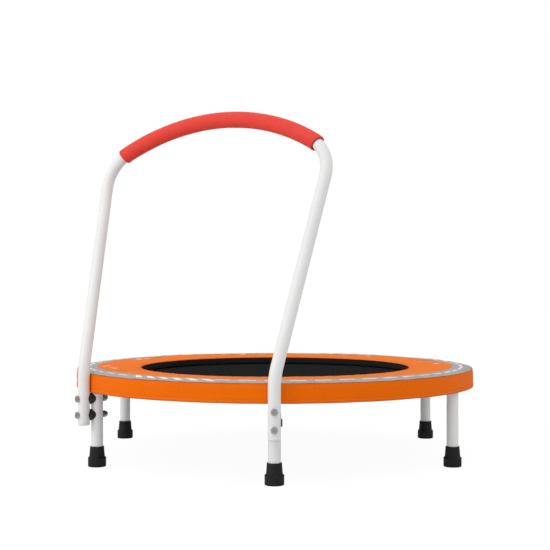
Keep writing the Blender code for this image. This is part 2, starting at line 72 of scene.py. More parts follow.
LEG_NAMES = ("right", "back_right", "back_left", "left", "front_left", "front_right")
LEG_ANGLES = {name: tau * i / len(LEG_NAMES) for i, name in enumerate(LEG_NAMES)}
FRONT_LEGS = ("front_left", "front_right")
LEVELS = ("upper", "lower")

RING_RADIUS = centre_of("leg_right").x
TUBE_RADIUS = half_size("leg_right").x
RING_INSIDE = RING_RADIUS - TUBE_RADIUS
RING_HEIGHT = centre_of("jump_mat").z
TUBE_WALL = 0.0015
GAP = 0.0003
LEG_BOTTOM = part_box("leg_right")[0].z
LEG_TOP = 0.1655
LEG_CAP = 0.0030
BOSS_BORE = 0.0053
BOSS_RADIUS = 0.0110
BOSS_TOP = 0.1705
SPRING_HOLE_RADIUS = 0.0030

FOOT_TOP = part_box("rubber_foot_right")[1].z
FOOT_BASE_RADIUS = half_size("rubber_foot_right").x
FOOT_BASE_TOP = 0.0200
FOOT_FLOOR = 0.0050
FOOT_NECK_RADIUS = 0.0149
FOOT_CONE_RADIUS = 0.0167
FOOT_CONE_BOTTOM = 0.0216
TREAD_DEPTH = 0.0008

POST_RADIUS = hypot(*centre_of("post_plug_front_right").xy)
POST_SIDE = POST_RADIUS * sin(pi / 6)
POST_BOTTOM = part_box("handle_tube")[0].z
POST_BEND_HEIGHT = 0.2144
POST_BEND_ROUND = 0.1400
HANDLE_LEAN = radians(18.38)
POST_FLARE = radians(5.71)
SHOULDER_ROUND = 0.0855
TOP_BAR_ROUND = 0.4682
TOP_BAR_HALF_ANGLE = radians(30.5)
GRIP_RADIUS = 0.0175
GRIP_BORE = 0.0131
GRIP_PAST_TOP_BAR = 0.0150
GRIP_LIP = 0.0030

PAD_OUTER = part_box("pad_cover")[1].x
SKIRT_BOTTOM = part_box("pad_cover")[0].z
PAD_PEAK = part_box("pad_cover")[1].z
PAD_OPENING = 0.3145
PAD_PEAK_RADIUS = 0.4390
PAD_OPENING_TOP = PAD_PEAK - 0.0034
PAD_OUTER_TOP = PAD_PEAK - 0.0040
PAD_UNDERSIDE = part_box("pad_foam")[0].z
FOAM_OVER_RING = 0.1957
CLOTH = 0.0009
SEAM_TOP = PAD_OUTER_TOP - 0.0010
HEM_HEIGHT = 0.0070
LONGEST_SKIRT_STEP = 0.006
EDGE_TAPE = 0.0085
ROLL_LIP = 0.0030
ROLL_DROP = 0.0016
PAD_STEPS = 720

MAT_RADIUS = half_size("jump_mat").x
MAT_THICKNESS = 0.0016
WEBBING_INNER = 0.3250
WEBBING_OUTER = 0.3520
TAB_WIDTH = 0.0190
TAB_THICKNESS = 0.0007
V_RING_ROOT = 0.3490
V_RING_BAR = 0.3660
V_RING_HALF_WIDTH = 0.0105
V_RING_BAR_HALF_WIDTH = 0.0022
V_RING_WIRE = 0.00115
BACKING_LOW_RADIUS = 0.3700
SPRING_COUNT = sum(name.startswith("spring_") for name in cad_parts)
SPRING_ANGLES = [tau * (i + 0.5) / SPRING_COUNT for i in range(SPRING_COUNT)]
SPRING_WIRE = 0.0009
SPRING_RADIUS = 0.0045
SPRING_TURNS = 22
COIL_STEPS = 14
SPRING_HOOK = 0.0030
SPRING_INNER_END = 0.3760
SPRING_OUTER_END = 0.4210

BOLT_HEIGHTS = {level: centre_of("handle_bolt_front_right_" + level).z for level in LEVELS}
BOLT_TWISTS = {"upper": 0.21, "lower": 0.38}
BOLT_RADIUS = 0.0040
ACROSS_FLATS = 0.0130
ACROSS_CORNERS = ACROSS_FLATS / sqrt(3)
BOLT_HEAD_HEIGHT = 0.0055
CHAMFER_START = 0.97
CHAMFER_CLEAR = 1.02
CHAMFER_ANGLE = radians(30)
DISH_RADIUS = 0.0042
DISH_DEPTH = 0.0008
SOCKET_RADIUS = 0.0026
SOCKET_DEPTH = 0.0034
NUT_HEX_HEIGHT = 0.0065
NUT_DOME_HEIGHT = 0.0055
NUT_DOME_RADIUS = 0.0058
SPACER_HALF_HEIGHT = half_size("saddle_spacer_front_right_upper").z
SPACER_HALF_WIDTH = 0.0114
SPACER_INSET = 0.0012
HEX_BEVEL = 0.0003
SPACER_BEVEL = 0.0005


# ---- material nodes


class Value:
    """What a node gives out, with plain arithmetic."""

    def __init__(self, nodes, socket):
        self.nodes = nodes
        self.socket = socket

    def __add__(self, other):
        return self.nodes.math("ADD", self, other)

    def __sub__(self, other):
        return self.nodes.math("SUBTRACT", self, other)

    def __rsub__(self, other):
        return self.nodes.math("SUBTRACT", other, self)

    def __mul__(self, other):
        return self.nodes.math("MULTIPLY", self, other)

    def fract(self):
        return self.nodes.math("FRACT", self)

    def smooth(self, low, high):
        """0 below low, 1 above high, smooth between."""
        inputs = {"Value": self, "From Min": low, "From Max": high}
        return self.nodes.node("MapRange", "Result", inputs, interpolation_type="SMOOTHSTEP")

    def inside(self, low, high, soft):
        """1 between low and high, 0 outside."""
        fall = self.smooth(high - soft, high + soft)
        return self.nodes.math("SUBTRACT", self.smooth(low - soft, low + soft), fall, clamp=True)

    def spread(self, low, high):
        """Maps 0..1 to low..high."""
        return self * (high - low) + low


class Nodes:
    """The node tree of a material or of the world."""

    def __init__(self, owner):
        owner.use_nodes = True
        self.tree = owner.node_tree

    def put(self, socket, value):
        if isinstance(value, Value):
            self.tree.links.new(value.socket, socket)
        elif socket.type == "RGBA":
            socket.default_value = (*value, 1.0)
        else:
            socket.default_value = value

    def node(self, kind, output, inputs=None, **settings):
        """One output of a new node with these settings and inputs."""
        node = self.tree.nodes.new("ShaderNode" + kind)
        for name, value in settings.items():
            setattr(node, name, value)
        for name, value in (inputs or {}).items():
            self.put(node.inputs[name], value)
        return Value(self, node.outputs[output])

    def math(self, operation, *values, clamp=False):
        return self.node("Math", 0, dict(enumerate(values)), operation=operation, use_clamp=clamp)


LOOKS = {}


class Look(Nodes):
    """A material with a Principled shader, kept in LOOKS under its name."""

    def __init__(self, name, metallic=0.0, specular=0.5):
        LOOKS[name] = bpy.data.materials.new(name)
        super().__init__(LOOKS[name])
        self.shader = self.tree.nodes["Principled BSDF"]
        self.shader.inputs["Metallic"].default_value = metallic
        self.shader.inputs["Specular IOR Level"].default_value = specular
        self.point = self.node("TexCoord", "Object")

    def both(self, first, second):
        """The sum of two masks, at most 1."""
        return self.math("ADD", first, second, clamp=True)

    def mix(self, factor, first, second):
        """A colour between two; on the node, 6 and 7 are its colour inputs and 2 is its colour output."""
        return self.node("Mix", 2, {"Factor": factor, 6: first, 7: second}, data_type="RGBA")

    def darker(self, factor, colour, depth):
        """The colour, mixed by factor with itself brought down by depth."""
        return self.mix(factor, colour, self.mix(depth, colour, (0.0, 0.0, 0.0)))

    def noise(self, scale, detail=2.0, rough=0.5, point=None, distortion=0.0):
        inputs = {"Vector": point or self.point, "Scale": scale, "Detail": detail}
        inputs.update({"Roughness": rough, "Distortion": distortion})
        return self.node("TexNoise", "Fac", inputs)

    def cells(self, scale):
        return self.node("TexVoronoi", "Distance", {"Vector": self.point, "Scale": scale})

    def axis(self, name):
        """The point's X, Y or Z."""
        return self.node("SeparateXYZ", name, {0: self.point})

    def polar(self):
        """Distance from the Z axis and angle round it."""
        x, y = self.axis("X"), self.axis("Y")
        return self.math("SQRT", x * x + y * y), self.math("ARCTAN2", y, x)

    def surface(self, colour, rough):
        self.put(self.shader.inputs["Base Color"], colour)
        self.put(self.shader.inputs["Roughness"], rough)

    def bump(self, height, distance, strength=1.0, after=None):
        inputs = {"Height": height, "Distance": distance, "Strength": strength}
        if after:
            inputs["Normal"] = after
        normal = self.node("Bump", "Normal", inputs)
        self.put(self.shader.inputs["Normal"], normal)
        return normal

    def edges(self, low, high):
        """1 on outward edges, for wear."""
        return self.node("NewGeometry", "Pointiness").smooth(low, high)

    def gloss(self, square_on, grazing):
        """Specular level that falls off at grazing angles, where a textile surface shadows itself."""
        turned = self.node("LayerWeight", "Facing", {"Blend": 0.5}).smooth(0.55, 0.90)
        self.put(self.shader.inputs["Specular IOR Level"], turned.spread(square_on, grazing))


def powder_coat():
    look = Look("white_powder_coat", specular=0.35)
    colour = look.mix(look.noise(14.0, 3.0), (0.83, 0.83, 0.825), (0.875, 0.875, 0.87))
    look.surface(colour, look.noise(60.0, 3.0).spread(0.36, 0.50))
    look.bump(look.noise(650.0, 2.0), 0.00016, 0.8)


def rubber():
    look = Look("black_rubber", specular=0.22)
    dust = look.noise(160.0, 4.0, 0.65).smooth(0.52, 0.78)
    low = 1.0 - look.axis("Z").smooth(0.0, 0.012)
    scuffs = look.both(dust * 0.35, look.edges(0.515, 0.56) * look.noise(220.0, 3.0))
    colour = look.mix(scuffs, (0.012, 0.012, 0.013), (0.040, 0.039, 0.037))
    look.surface(colour, dust.spread(0.58, 0.78) + low * 0.08)
    look.bump(look.noise(1500.0, 3.0), 0.00008, 0.8)


def moulded_plastic(name, colour, rough):
    look = Look(name, specular=0.4)
    grain = look.noise(1800.0, 2.0)
    shade = tuple(0.85 * c for c in colour)
    worn = tuple(0.9 * c + 0.03 for c in colour)
    tinted = look.mix(look.noise(90.0, 2.0), shade, colour)
    look.surface(look.mix(look.edges(0.53, 0.60), tinted, worn), grain.spread(rough - 0.08, rough + 0.10))
    look.bump(grain, 0.00005, 0.7)


def zinc():
    look = Look("zinc_steel", metallic=1.0)
    clouds = look.noise(240.0, 3.0)
    tone = (look.cells(420.0) + clouds) * 0.5
    look.surface(look.mix(tone, (0.31, 0.315, 0.32), (0.52, 0.53, 0.54)), clouds.spread(0.26, 0.46))
    look.bump(look.noise(2600.0, 2.0), 0.00002, 0.6)


def foam_grip_look():
    look = Look("red_foam", specular=0.34)
    pores = look.cells(950.0).smooth(0.05, 0.60)
    skin = look.mix(look.noise(55.0, 3.0), (0.79, 0.047, 0.030), (0.93, 0.063, 0.038))
    # Painted shade: the foam's pits are darkened towards a near-black red.
    pits = 1.0 - look.cells(420.0).smooth(0.06, 0.16)
    look.surface(look.mix(pits * 0.65, skin, (0.26, 0.016, 0.012)), pores.spread(0.48, 0.66))
    normal = look.bump(pores, 0.00022, 0.9)
    normal = look.bump(1.0 - pits, 0.0005, 0.8, after=normal)
    look.bump(look.noise(90.0, 3.0), 0.0012, 0.30, after=normal)


def painted_shade_foam_look():
    # Painted shade: a near-black red for the grip's end faces, which look away from the lamp.
    look = Look("painted_shade_foam", specular=0.1)
    pores = look.cells(700.0).smooth(0.05, 0.55)
    look.surface(look.mix(pores, (0.030, 0.005, 0.006), (0.15, 0.014, 0.013)), pores.spread(0.80, 0.95))
    look.bump(pores, 0.0004, 0.9)


# The printed road on the pad's top: dashes along its middle, slanted bars, and dots beside it.
ROAD_INNER = 0.4140
ROAD_OUTER = 0.4578
KERB = 0.0014
DASH_RADIUS = 0.4345
DASH_HALF_WIDTH = 0.0034
DASH_COUNT = 54
DASH_PHASE = 0.565
DASH_SHARE = 0.66
BARS_FROM = -23
BARS_TO = -17
BAR_PITCH = 0.0338
BAR_SLANT = -1.15
BAR_HALF_LENGTH = 0.0125
DOTS_FROM = radians(22.5)
DOTS_TO = radians(232.5)
DOT_PITCH = radians(3.75)
DOT_GROUP = radians(45)
DOT_GROUP_MIDDLE = radians(43.125)
DOT_GROUP_HALF = radians(9.375)
DOT_RADIUS = 0.3890
DOT_SCATTER = 0.024
DOT_COLOURS = (
    (0.0, (0.80, 0.74, 0.62)),
    (0.30, (0.30, 0.36, 0.40)),
    (0.55, (0.22, 0.27, 0.15)),
    (0.75, (0.82, 0.80, 0.76)),
    (0.90, (0.42, 0.13, 0.07)),
)
ORANGE_DEEP = (0.945, 0.155, 0.0010)
ORANGE = (0.990, 0.180, 0.0016)
# The top panel's orange is paler than the skirt's: its own print colour, with painted sheen as seen at a
# grazing angle.
TOP_ORANGE_DEEP = (0.890, 0.176, 0.0020)
TOP_ORANGE = (0.950, 0.208, 0.0035)
CREASE_RATE = 19.0


def gathers(look, radius, angle):
    """Short soft creases that run in from both seams of the top panel, 0 to 1; they carry painted shade and
    bumps.
    """
    x = look.math("COSINE", angle) * CREASE_RATE
    y = look.math("SINE", angle) * CREASE_RATE
    point = look.node("CombineXYZ", 0, {0: x, 1: y, 2: radius * 14.0})
    streaks = look.noise(1.0, 2.0, 0.5, point=point).smooth(0.42, 0.68)
    outer = radius.smooth(PAD_OUTER - 0.026, PAD_OUTER - 0.002)
    inner = 1.0 - radius.smooth(PAD_OPENING + 0.002, PAD_OPENING + 0.034)
    return streaks * look.both(outer, inner)


def vinyl(look, colour, after=None):
    """Coated cloth: a fine pebble grain, with painted shade in its creases, and gentle ripples."""
    pebbles = look.cells(620.0).smooth(0.10, 0.75)
    creases = look.noise(260.0, 4.0, 0.6, distortion=0.6) * pebbles
    # Painted shade: the colour darkens in the grain's creases, following the bump.
    shade = creases.smooth(0.15, 0.55).spread(0.0, 0.16)
    look.surface(look.darker(shade, colour, 0.62), look.noise(40.0, 3.0).spread(0.42, 0.56))
    normal = look.bump(1.0 - pebbles, 0.00022, 0.8, after=after)
    look.bump(look.noise(38.0, 3.0), 0.0012, 0.30, after=normal)


def orange_vinyl():
    look = Look("orange_vinyl")
    look.gloss(0.05, 0.02)
    # Painted shade: the bottom 3.5 mm of the skirt, at the hem, is darkened towards brown.
    hem = 1.0 - look.axis("Z").smooth(SKIRT_BOTTOM, SKIRT_BOTTOM + 0.0035)
    base = look.mix(look.noise(9.0, 3.0), ORANGE_DEEP, ORANGE)
    vinyl(look, look.mix(hem * 0.70, base, (0.42, 0.10, 0.02)))


def slanted_bars(look, radius, angle):
    """A row of plain slanted bars across the road, like a start line, and the stretch that they take."""
    place = look.math("DIVIDE", angle * DASH_RADIUS + (radius - DASH_RADIUS) * BAR_SLANT, BAR_PITCH)
    across = radius.inside(DASH_RADIUS - BAR_HALF_LENGTH, DASH_RADIUS + BAR_HALF_LENGTH, 0.0005)
    window = place.inside(BARS_FROM, BARS_TO, 0.02)
    return place.fract().inside(0.22, 0.74, 0.02) * across * window, window


def dots(look, radius, angle):
    """Groups of plain round dots beside the road: a mask and a muted colour for each dot."""
    turn = look.math("MODULO", angle + tau, tau)
    cell = look.math("FLOOR", look.math("DIVIDE", turn, DOT_PITCH))
    chance = look.node("TexWhiteNoise", "Value", {"W": cell}, noise_dimensions="1D")
    sideways = (turn - (cell + 0.5) * DOT_PITCH) * DOT_RADIUS
    outwards = radius - (chance * DOT_SCATTER + (DOT_RADIUS - DOT_SCATTER / 2))
    distance = look.math("SQRT", sideways * sideways + outwards * outwards)
    size = (chance * 7.0).fract().spread(0.0045, 0.0100)
    disc = 1.0 - (distance - size).smooth(-0.0003, 0.0003)
    half = DOT_GROUP / 2
    group = look.math("MODULO", turn + (half - DOT_GROUP_MIDDLE + DOT_GROUP), DOT_GROUP)
    in_group = group.inside(half - DOT_GROUP_HALF, half + DOT_GROUP_HALF, 0.001)
    in_range = turn.inside(DOTS_FROM, DOTS_TO, 0.001)
    colour = look.node("ValToRGB", "Color", {0: (chance * 3.7).fract()})
    ramp = colour.socket.node.color_ramp
    ramp.interpolation = "CONSTANT"
    while len(ramp.elements) < len(DOT_COLOURS):
        ramp.elements.new(0.5)
    for element, (position, shade) in zip(ramp.elements, DOT_COLOURS):
        element.position = position
        element.color = (*shade, 1.0)
    return disc * in_group * in_range, colour


def printed_vinyl():
    """The pad's top: orange, with a printed grey road, its dashes, a start line and a few dots, and painted
    shade along the outer seam and in the gathers.
    """
    look = Look("printed_vinyl")
    look.gloss(0.20, 0.02)
    radius, angle = look.polar()
    base = look.mix(look.noise(9.0, 3.0), TOP_ORANGE_DEEP, TOP_ORANGE)
    road = radius.inside(ROAD_INNER, ROAD_OUTER, 0.0005)
    asphalt = look.mix(look.noise(500.0, 3.0, 0.7), (0.37, 0.362, 0.350), (0.48, 0.470, 0.455))

    phase = (angle * (DASH_COUNT / tau) + DASH_PHASE).fract()
    dash_along = phase.inside(0.5 - DASH_SHARE / 2, 0.5 + DASH_SHARE / 2, 0.02)
    dash_across = radius.inside(DASH_RADIUS - DASH_HALF_WIDTH, DASH_RADIUS + DASH_HALF_WIDTH, 0.0004)
    bars, bars_window = slanted_bars(look, radius, angle)
    white = look.both(dash_along * dash_across * (1.0 - bars_window), bars)
    kerb = radius.inside(ROAD_INNER, ROAD_INNER + KERB, 0.0003)
    # Painted shade: a brown band along the outer seam, where the seam allowance lies in shadow.
    seam = radius.smooth(ROAD_OUTER - 0.0005, ROAD_OUTER + 0.0005)

    dot_mask, dot_colour = dots(look, radius, angle)
    colour = look.mix(dot_mask, base, dot_colour)
    colour = look.mix(seam * 0.55, colour, (0.30, 0.075, 0.012))
    colour = look.mix(road, colour, asphalt)
    colour = look.mix(kerb * 0.6, colour, (0.24, 0.235, 0.23))
    colour = look.mix(white, colour, (0.93, 0.92, 0.90))
    creases = gathers(look, radius, angle)
    # Painted shade in the gathers' creases.
    colour = look.darker(creases * 0.16, colour, 0.75)
    vinyl(look, colour, after=look.bump(1.0 - creases, 0.0030, 0.6))


WEAVE_PITCH = 0.0024
RIB_PITCH = 0.0011


def woven_mat():
    """Black mat cloth: flat tapes over and under each other in a basket weave, with painted light and shade
    on alternate squares.
    """
    look = Look("woven_mat")
    look.gloss(0.32, 0.0)
    across, along = (look.math("SINE", look.axis(name) * (tau / WEAVE_PITCH)) for name in "XY")
    weave = (across * along).smooth(-0.45, 0.55)
    clouds = look.noise(18.0, 3.0)
    # Painted light and shade: alternate squares of the weave are lighter and darker, following the bump.
    colour = look.mix(weave, (0.0088, 0.0091, 0.0096), (0.0264, 0.0270, 0.0280))
    look.surface(colour, clouds.spread(0.70, 0.90))
    look.bump(clouds, 0.002, 0.15, after=look.bump(weave, 0.00025, 0.8))


def webbing_look(name, colour):
    look = Look(name, specular=0.1)
    radius, angle = look.polar()
    ribs = look.math("SINE", radius * (tau / RIB_PITCH))
    weave = (ribs * look.math("SINE", angle * 1500.0)).spread(0.5, 1.0)
    # Painted light and shade on the weave's ribs, following the bump.
    lit_rib_colour = tuple(1.9 * c for c in colour)
    look.surface(look.mix(weave, colour, lit_rib_colour), look.noise(300.0).spread(0.70, 0.90))
    look.bump(weave, 0.0002, 0.8)


def thread_look(name, colour):
    look = Look(name, specular=0.3)
    twist = look.noise(2500.0, 2.0)
    look.surface(look.mix(twist, tuple(0.75 * c for c in colour), colour), twist.spread(0.55, 0.8))
    look.bump(twist, 0.00005, 0.6)


def open_foam():
    look = Look("pale_foam", specular=0.15)
    pores = look.cells(900.0)
    look.surface(look.mix(pores, (0.60, 0.60, 0.57), (0.78, 0.78, 0.75)), 0.95)
    look.bump(pores, 0.0003, 0.8)


# The floor's glow: its strength and its share of the floor's light, on the object and to the camera.
FLOOR_FILL = 0.71
FLOOR_FILL_SHARE = 0.50
FLOOR_SEEN = 1.06
FLOOR_SEEN_SHARE = 0.90


def floor_look():
    """White sweep: to the object, a matt floor that also glows, a painted fill light from below; to the
    camera, overexposed, as on a light table.
    """
    look = Look("pale_floor", specular=0.0)
    look.surface(look.mix(look.noise(1.5, 2.0), (0.71, 0.71, 0.71), (0.73, 0.73, 0.73)), 0.9)
    seen = look.node("LightPath", "Is Camera Ray")
    glow = look.node("Emission", 0, {"Strength": seen.spread(FLOOR_FILL, FLOOR_SEEN)})
    share = seen.spread(FLOOR_FILL_SHARE, FLOOR_SEEN_SHARE)
    both = look.node("MixShader", 0, {0: share, 1: Value(look, look.shader.outputs[0]), 2: glow})
    look.put(look.tree.nodes["Material Output"].inputs["Surface"], both)


# Each call makes one material.
powder_coat()
rubber()
moulded_plastic("black_plastic", (0.014, 0.014, 0.013), 0.45)
moulded_plastic("white_plastic", (0.80, 0.80, 0.79), 0.42)
zinc()
woven_mat()
webbing_look("webbing", (0.016, 0.016, 0.017))
webbing_look("black_cloth", (0.012, 0.012, 0.013))
orange_vinyl()
printed_vinyl()
open_foam()
foam_grip_look()
painted_shade_foam_look()
thread_look("orange_thread", (0.90, 0.30, 0.06))
thread_look("grey_thread", (0.24, 0.24, 0.25))
floor_look()


# ---- mesh helpers. A part is (verts, faces).


def raw_mesh(name, part):
    verts, faces = part
    mesh = bpy.data.meshes.new(name)
    mesh.from_pydata([tuple(v) for v in verts], [], faces)
    return mesh


def clean(mesh, merge=0.0):
    """Joins points closer than merge and turns every face outwards."""
    work = bmesh.new()
    work.from_mesh(mesh)
    if merge:
        bmesh.ops.remove_doubles(work, verts=work.verts, dist=merge)
    bmesh.ops.recalc_face_normals(work, faces=work.faces)
    work.to_mesh(mesh)
    work.free()
    return mesh


def linked(name, mesh):
    obj = bpy.data.objects.new(name, mesh)
    bpy.context.scene.collection.objects.link(obj)
    return obj


def piece_from_mesh(name, mesh, look, merge=0.0):
    """A smooth-shaded object with one material."""
    clean(mesh, merge)
    mesh.shade_smooth()
    mesh.set_sharp_from_angle(angle=SHARP_EDGE)
    mesh.materials.clear()
    mesh.materials.append(LOOKS[look])
    return linked(name, mesh)


def mesh_piece(name, part, look, merge=0.0):
    return piece_from_mesh(name, raw_mesh(name, part), look, merge)


def attach(obj, slot, *nodes):
    """The piece rides on the frame and stands for CAD nodes, which are hidden; slot is not used."""
    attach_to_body(obj, "frame")
    if nodes:
        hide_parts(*nodes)


def fixed(name, part, look, *nodes, slot=None, merge=0.0):
    """A piece on the frame. Its slot is passed on to attach(), which does not use it."""
    attach(mesh_piece(name, part, look, merge), slot or look, *nodes)


def grid_faces(rows, columns, wrap_rows=False, wrap_columns=False):
    """Quads over a grid of points numbered row by row."""
    faces = []
    for i in range(rows if wrap_rows else rows - 1):
        for j in range(columns if wrap_columns else columns - 1):
            a = i * columns + j
            b = i * columns + (j + 1) % columns
            c = ((i + 1) % rows) * columns + (j + 1) % columns
            d = ((i + 1) % rows) * columns + j
            faces.append((a, b, c, d))
    return faces


def lathe(profile, steps, closed=False, shift=None):
    """A profile of (radius, height) turned about Z. shift(radius, height, angle) may move a point."""
    verts = []
    for radius, height in profile:
        for j in range(steps):
            angle = tau * j / steps
            r, z = (radius, height) if shift is None else shift(radius, height, angle)
            verts.append((r * cos(angle), r * sin(angle), z))
    return verts, grid_faces(len(profile), steps, wrap_rows=closed, wrap_columns=True)


def rounded(points, radii, steps=4, closed=False):
    """A polyline whose corners are rounded; a radius of 0 keeps a corner."""
    result = []
    count = len(points)
    for i, point in enumerate(points):
        here = Vector(point)
        radius = radii[i]
        if radius == 0 or (not closed and i in (0, count - 1)):
            result.append(here)
            continue
        before = Vector(points[i - 1])
        after = Vector(points[(i + 1) % count])
        back = (before - here).normalized()
        ahead = (after - here).normalized()
        reach = radius / tan(back.angle(ahead) / 2)
        reach = min(reach, 0.49 * (before - here).length, 0.49 * (after - here).length)
        start = here + back * reach
        end = here + ahead * reach
        for k in range(steps + 1):
            t = k / steps
            result.append(start * (1 - t) ** 2 + here * 2 * t * (1 - t) + end * t**2)
    return result


def turned(outline, radii, steps, corner_steps=4):
    """An outline with rounded corners, turned about Z."""
    return lathe(rounded(outline, radii, corner_steps), steps)


def ends_closed(faces, rows, sides):
    """Adds a face to each end of a tube of rows of points."""
    return faces + [tuple(range(sides)), tuple((rows - 1) * sides + j for j in range(sides))]


def directions(points, closed=False):
    """The way along a line at each of its points."""
    found = []
    for i, point in enumerate(points):
        before = points[i - 1] if closed or i > 0 else point
        after = points[(i + 1) % len(points)] if closed or i < len(points) - 1 else point
        found.append((after - before).normalized())
    return found


def sweep(points, radius, sides, closed=False):
    """A round tube along points. radius is a number or one per point."""
    points = [Vector(p) for p in points]
    ways = directions(points, closed)
    seed = UP if abs(ways[0].z) < 0.9 else Vector((1, 0, 0))
    normal = (seed - ways[0] * seed.dot(ways[0])).normalized()
    radii = radius if isinstance(radius, list) else [radius] * len(points)
    verts = []
    for point, ahead, reach in zip(points, ways, radii):
        normal = (normal - ahead * normal.dot(ahead)).normalized()
        side = ahead.cross(normal)
        for j in range(sides):
            angle = tau * j / sides
            verts.append(point + (normal * cos(angle) + side * sin(angle)) * reach)
    faces = grid_faces(len(points), sides, wrap_rows=closed, wrap_columns=True)
    return verts, faces if closed else ends_closed(faces, len(points), sides)


def rod(start, end, radius, sides):
    """A straight rod along +X."""
    return sweep([(start, 0, 0), (end, 0, 0)], radius, sides)


def merged(parts):
    """Several parts as one."""
    verts = []
    faces = []
    for part_verts, part_faces in parts:
        start = len(verts)
        verts += [Vector(v) for v in part_verts]
        faces += [tuple(start + i for i in face) for face in part_faces]
    return verts, faces


def moved(part, matrix):
    verts, faces = part
    return [matrix @ Vector(v) for v in verts], faces


def about_z(angle):
    return Matrix.Rotation(angle, 4, "Z")


def radial(angle, radius, height):
    """Turns a shape made along +X to a radial line at an angle, a radius and a height."""
    return about_z(angle) @ Matrix.Translation((radius, 0, height))


def facing_out(angle, radius, height):
    """A place on an upright wall: its Z looks outwards and its Y runs round the ring."""
    return radial(angle, radius, height) @ Matrix.Rotation(pi / 2, 4, "Y")


def at_legs(name, part, look, node, legs=LEG_NAMES, radius=RING_RADIUS, merge=SAME_POINT):
    """A copy at each leg of a part made on the Z axis."""
    for leg in legs:
        x = radius * cos(LEG_ANGLES[leg])
        y = radius * sin(LEG_ANGLES[leg])
        nodes = [node + leg] if node else []
        fixed(name + leg, moved(part, Matrix.Translation((x, y, 0))), look, *nodes, merge=merge)


def boolean_result(first, *steps):
    """The mesh of first after each (other, operation); the helpers are removed."""
    obj = linked("boolean_body", clean(raw_mesh("boolean_body", first), SAME_POINT))
    helpers = [obj]
    for other, operation in steps:
        helper = linked("boolean_tool", clean(raw_mesh("boolean_tool", other), SAME_POINT))
        helpers.append(helper)
        modifier = obj.modifiers.new(operation, "BOOLEAN")
        modifier.object = helper
        modifier.operation = operation
        modifier.solver = "EXACT"
    bpy.context.view_layer.update()
    graph = bpy.context.evaluated_depsgraph_get()
    mesh = bpy.data.meshes.new_from_object(obj.evaluated_get(graph), depsgraph=graph)
    for helper in helpers:
        bpy.data.objects.remove(helper, do_unlink=True)
    return mesh


def ring_piece(name, outline, steps, look, *nodes, slot=None, shift=None):
    """A closed outline turned about Z."""
    fixed(name, lathe(outline, steps, closed=True, shift=shift), look, *nodes, slot=slot)


def around(radius, height, offsets):
    """Points of an outline at offsets from a radius and a height."""
    return [(radius + r, height + z) for r, z in offsets]


def bevel(obj, width):
    modifier = obj.modifiers.new("soft_edges", "BEVEL")
    modifier.width = width
    modifier.segments = 2
    modifier.limit_method = "ANGLE"
    modifier.angle_limit = BEVELLED_EDGE
    modifier.harden_normals = True


# ---- legs, feet and frame ring


def make_legs():
    inner = TUBE_RADIUS - TUBE_WALL
    under_cap = LEG_TOP - LEG_CAP
    outline = [(0.0, LEG_TOP), (TUBE_RADIUS, LEG_TOP), (TUBE_RADIUS, LEG_BOTTOM)]
    outline += [(inner, LEG_BOTTOM), (inner, under_cap), (0.0, under_cap)]
    part = turned(outline, [0, 0.0008, 0.0004, 0.0004, 0.0005, 0], 64)
    at_legs("leg_tube_", part, "white_powder_coat", "leg_")


def make_feet():
    """Stepped cones with a socket for the leg and two shallow hollows in the tread."""
    bore = TUBE_RADIUS + GAP
    outline = [(0.0, FOOT_FLOOR), (bore, FOOT_FLOOR), (bore, FOOT_TOP), (FOOT_NECK_RADIUS, FOOT_TOP)]
    outline += [(FOOT_CONE_RADIUS, FOOT_CONE_BOTTOM), (FOOT_BASE_RADIUS, FOOT_BASE_TOP)]
    outline += [(FOOT_BASE_RADIUS, 0.0), (0.0150, 0.0), (0.0145, TREAD_DEPTH), (0.0110, TREAD_DEPTH)]
    outline += [(0.0105, 0.0), (0.0070, 0.0), (0.0065, TREAD_DEPTH), (0.0, TREAD_DEPTH)]
    rounding = [0, 0.0003, 0.0004, 0.0009, 0.0008, 0.0009, 0.0028] + [0.0003] * 6 + [0]
    at_legs("foot_", turned(outline, rounding, 72, corner_steps=5), "black_rubber", "rubber_foot_")


def make_frame_ring():
    """The steel ring with punched spring holes, and its welded bosses."""
    sides = 28
    turns = [tau * j / sides for j in range(sides)]
    circle = [(TUBE_RADIUS * cos(a), TUBE_RADIUS * sin(a)) for a in reversed(turns)]
    tube = lathe(around(RING_RADIUS, RING_HEIGHT, circle), 240, closed=True)
    punch = rod(-0.006, 0.006, SPRING_HOLE_RADIUS, 16)
    holes = [moved(punch, radial(angle, RING_INSIDE, RING_HEIGHT)) for angle in SPRING_ANGLES]
    mesh = boolean_result(tube, (merged(holes), "DIFFERENCE"))
    attach(piece_from_mesh("frame_ring_tube", mesh, "white_powder_coat"), "white_powder_coat", "frame_ring")

    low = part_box("frame_ring")[0].z
    outline = [(BOSS_BORE, BOSS_TOP), (BOSS_RADIUS, BOSS_TOP), (BOSS_RADIUS, low), (BOSS_BORE, low)]
    at_legs("leg_boss_", turned(outline, [0, 0.0006, 0.0006, 0], 48), "white_powder_coat", None, merge=0.0)


# ---- handle


def handle_plane_point(s, t):
    """A point of the leaning handle plane: s sideways, t up along the plane from the lower bends."""
    y = -POST_RADIUS * cos(pi / 6) + t * sin(HANDLE_LEAN)
    return Vector((s, y, POST_BEND_HEIGHT + t * cos(HANDLE_LEAN)))


def shoulder():
    """Centre of the shoulder bend and the end of the straight post below it, as (s, t)."""
    centre_s = (TOP_BAR_ROUND - SHOULDER_ROUND) * sin(TOP_BAR_HALF_ANGLE)
    end_s = centre_s + SHOULDER_ROUND * cos(POST_FLARE)
    end_t = (end_s - POST_SIDE) / tan(POST_FLARE)
    return (centre_s, end_t + SHOULDER_ROUND * sin(POST_FLARE)), (end_s, end_t)


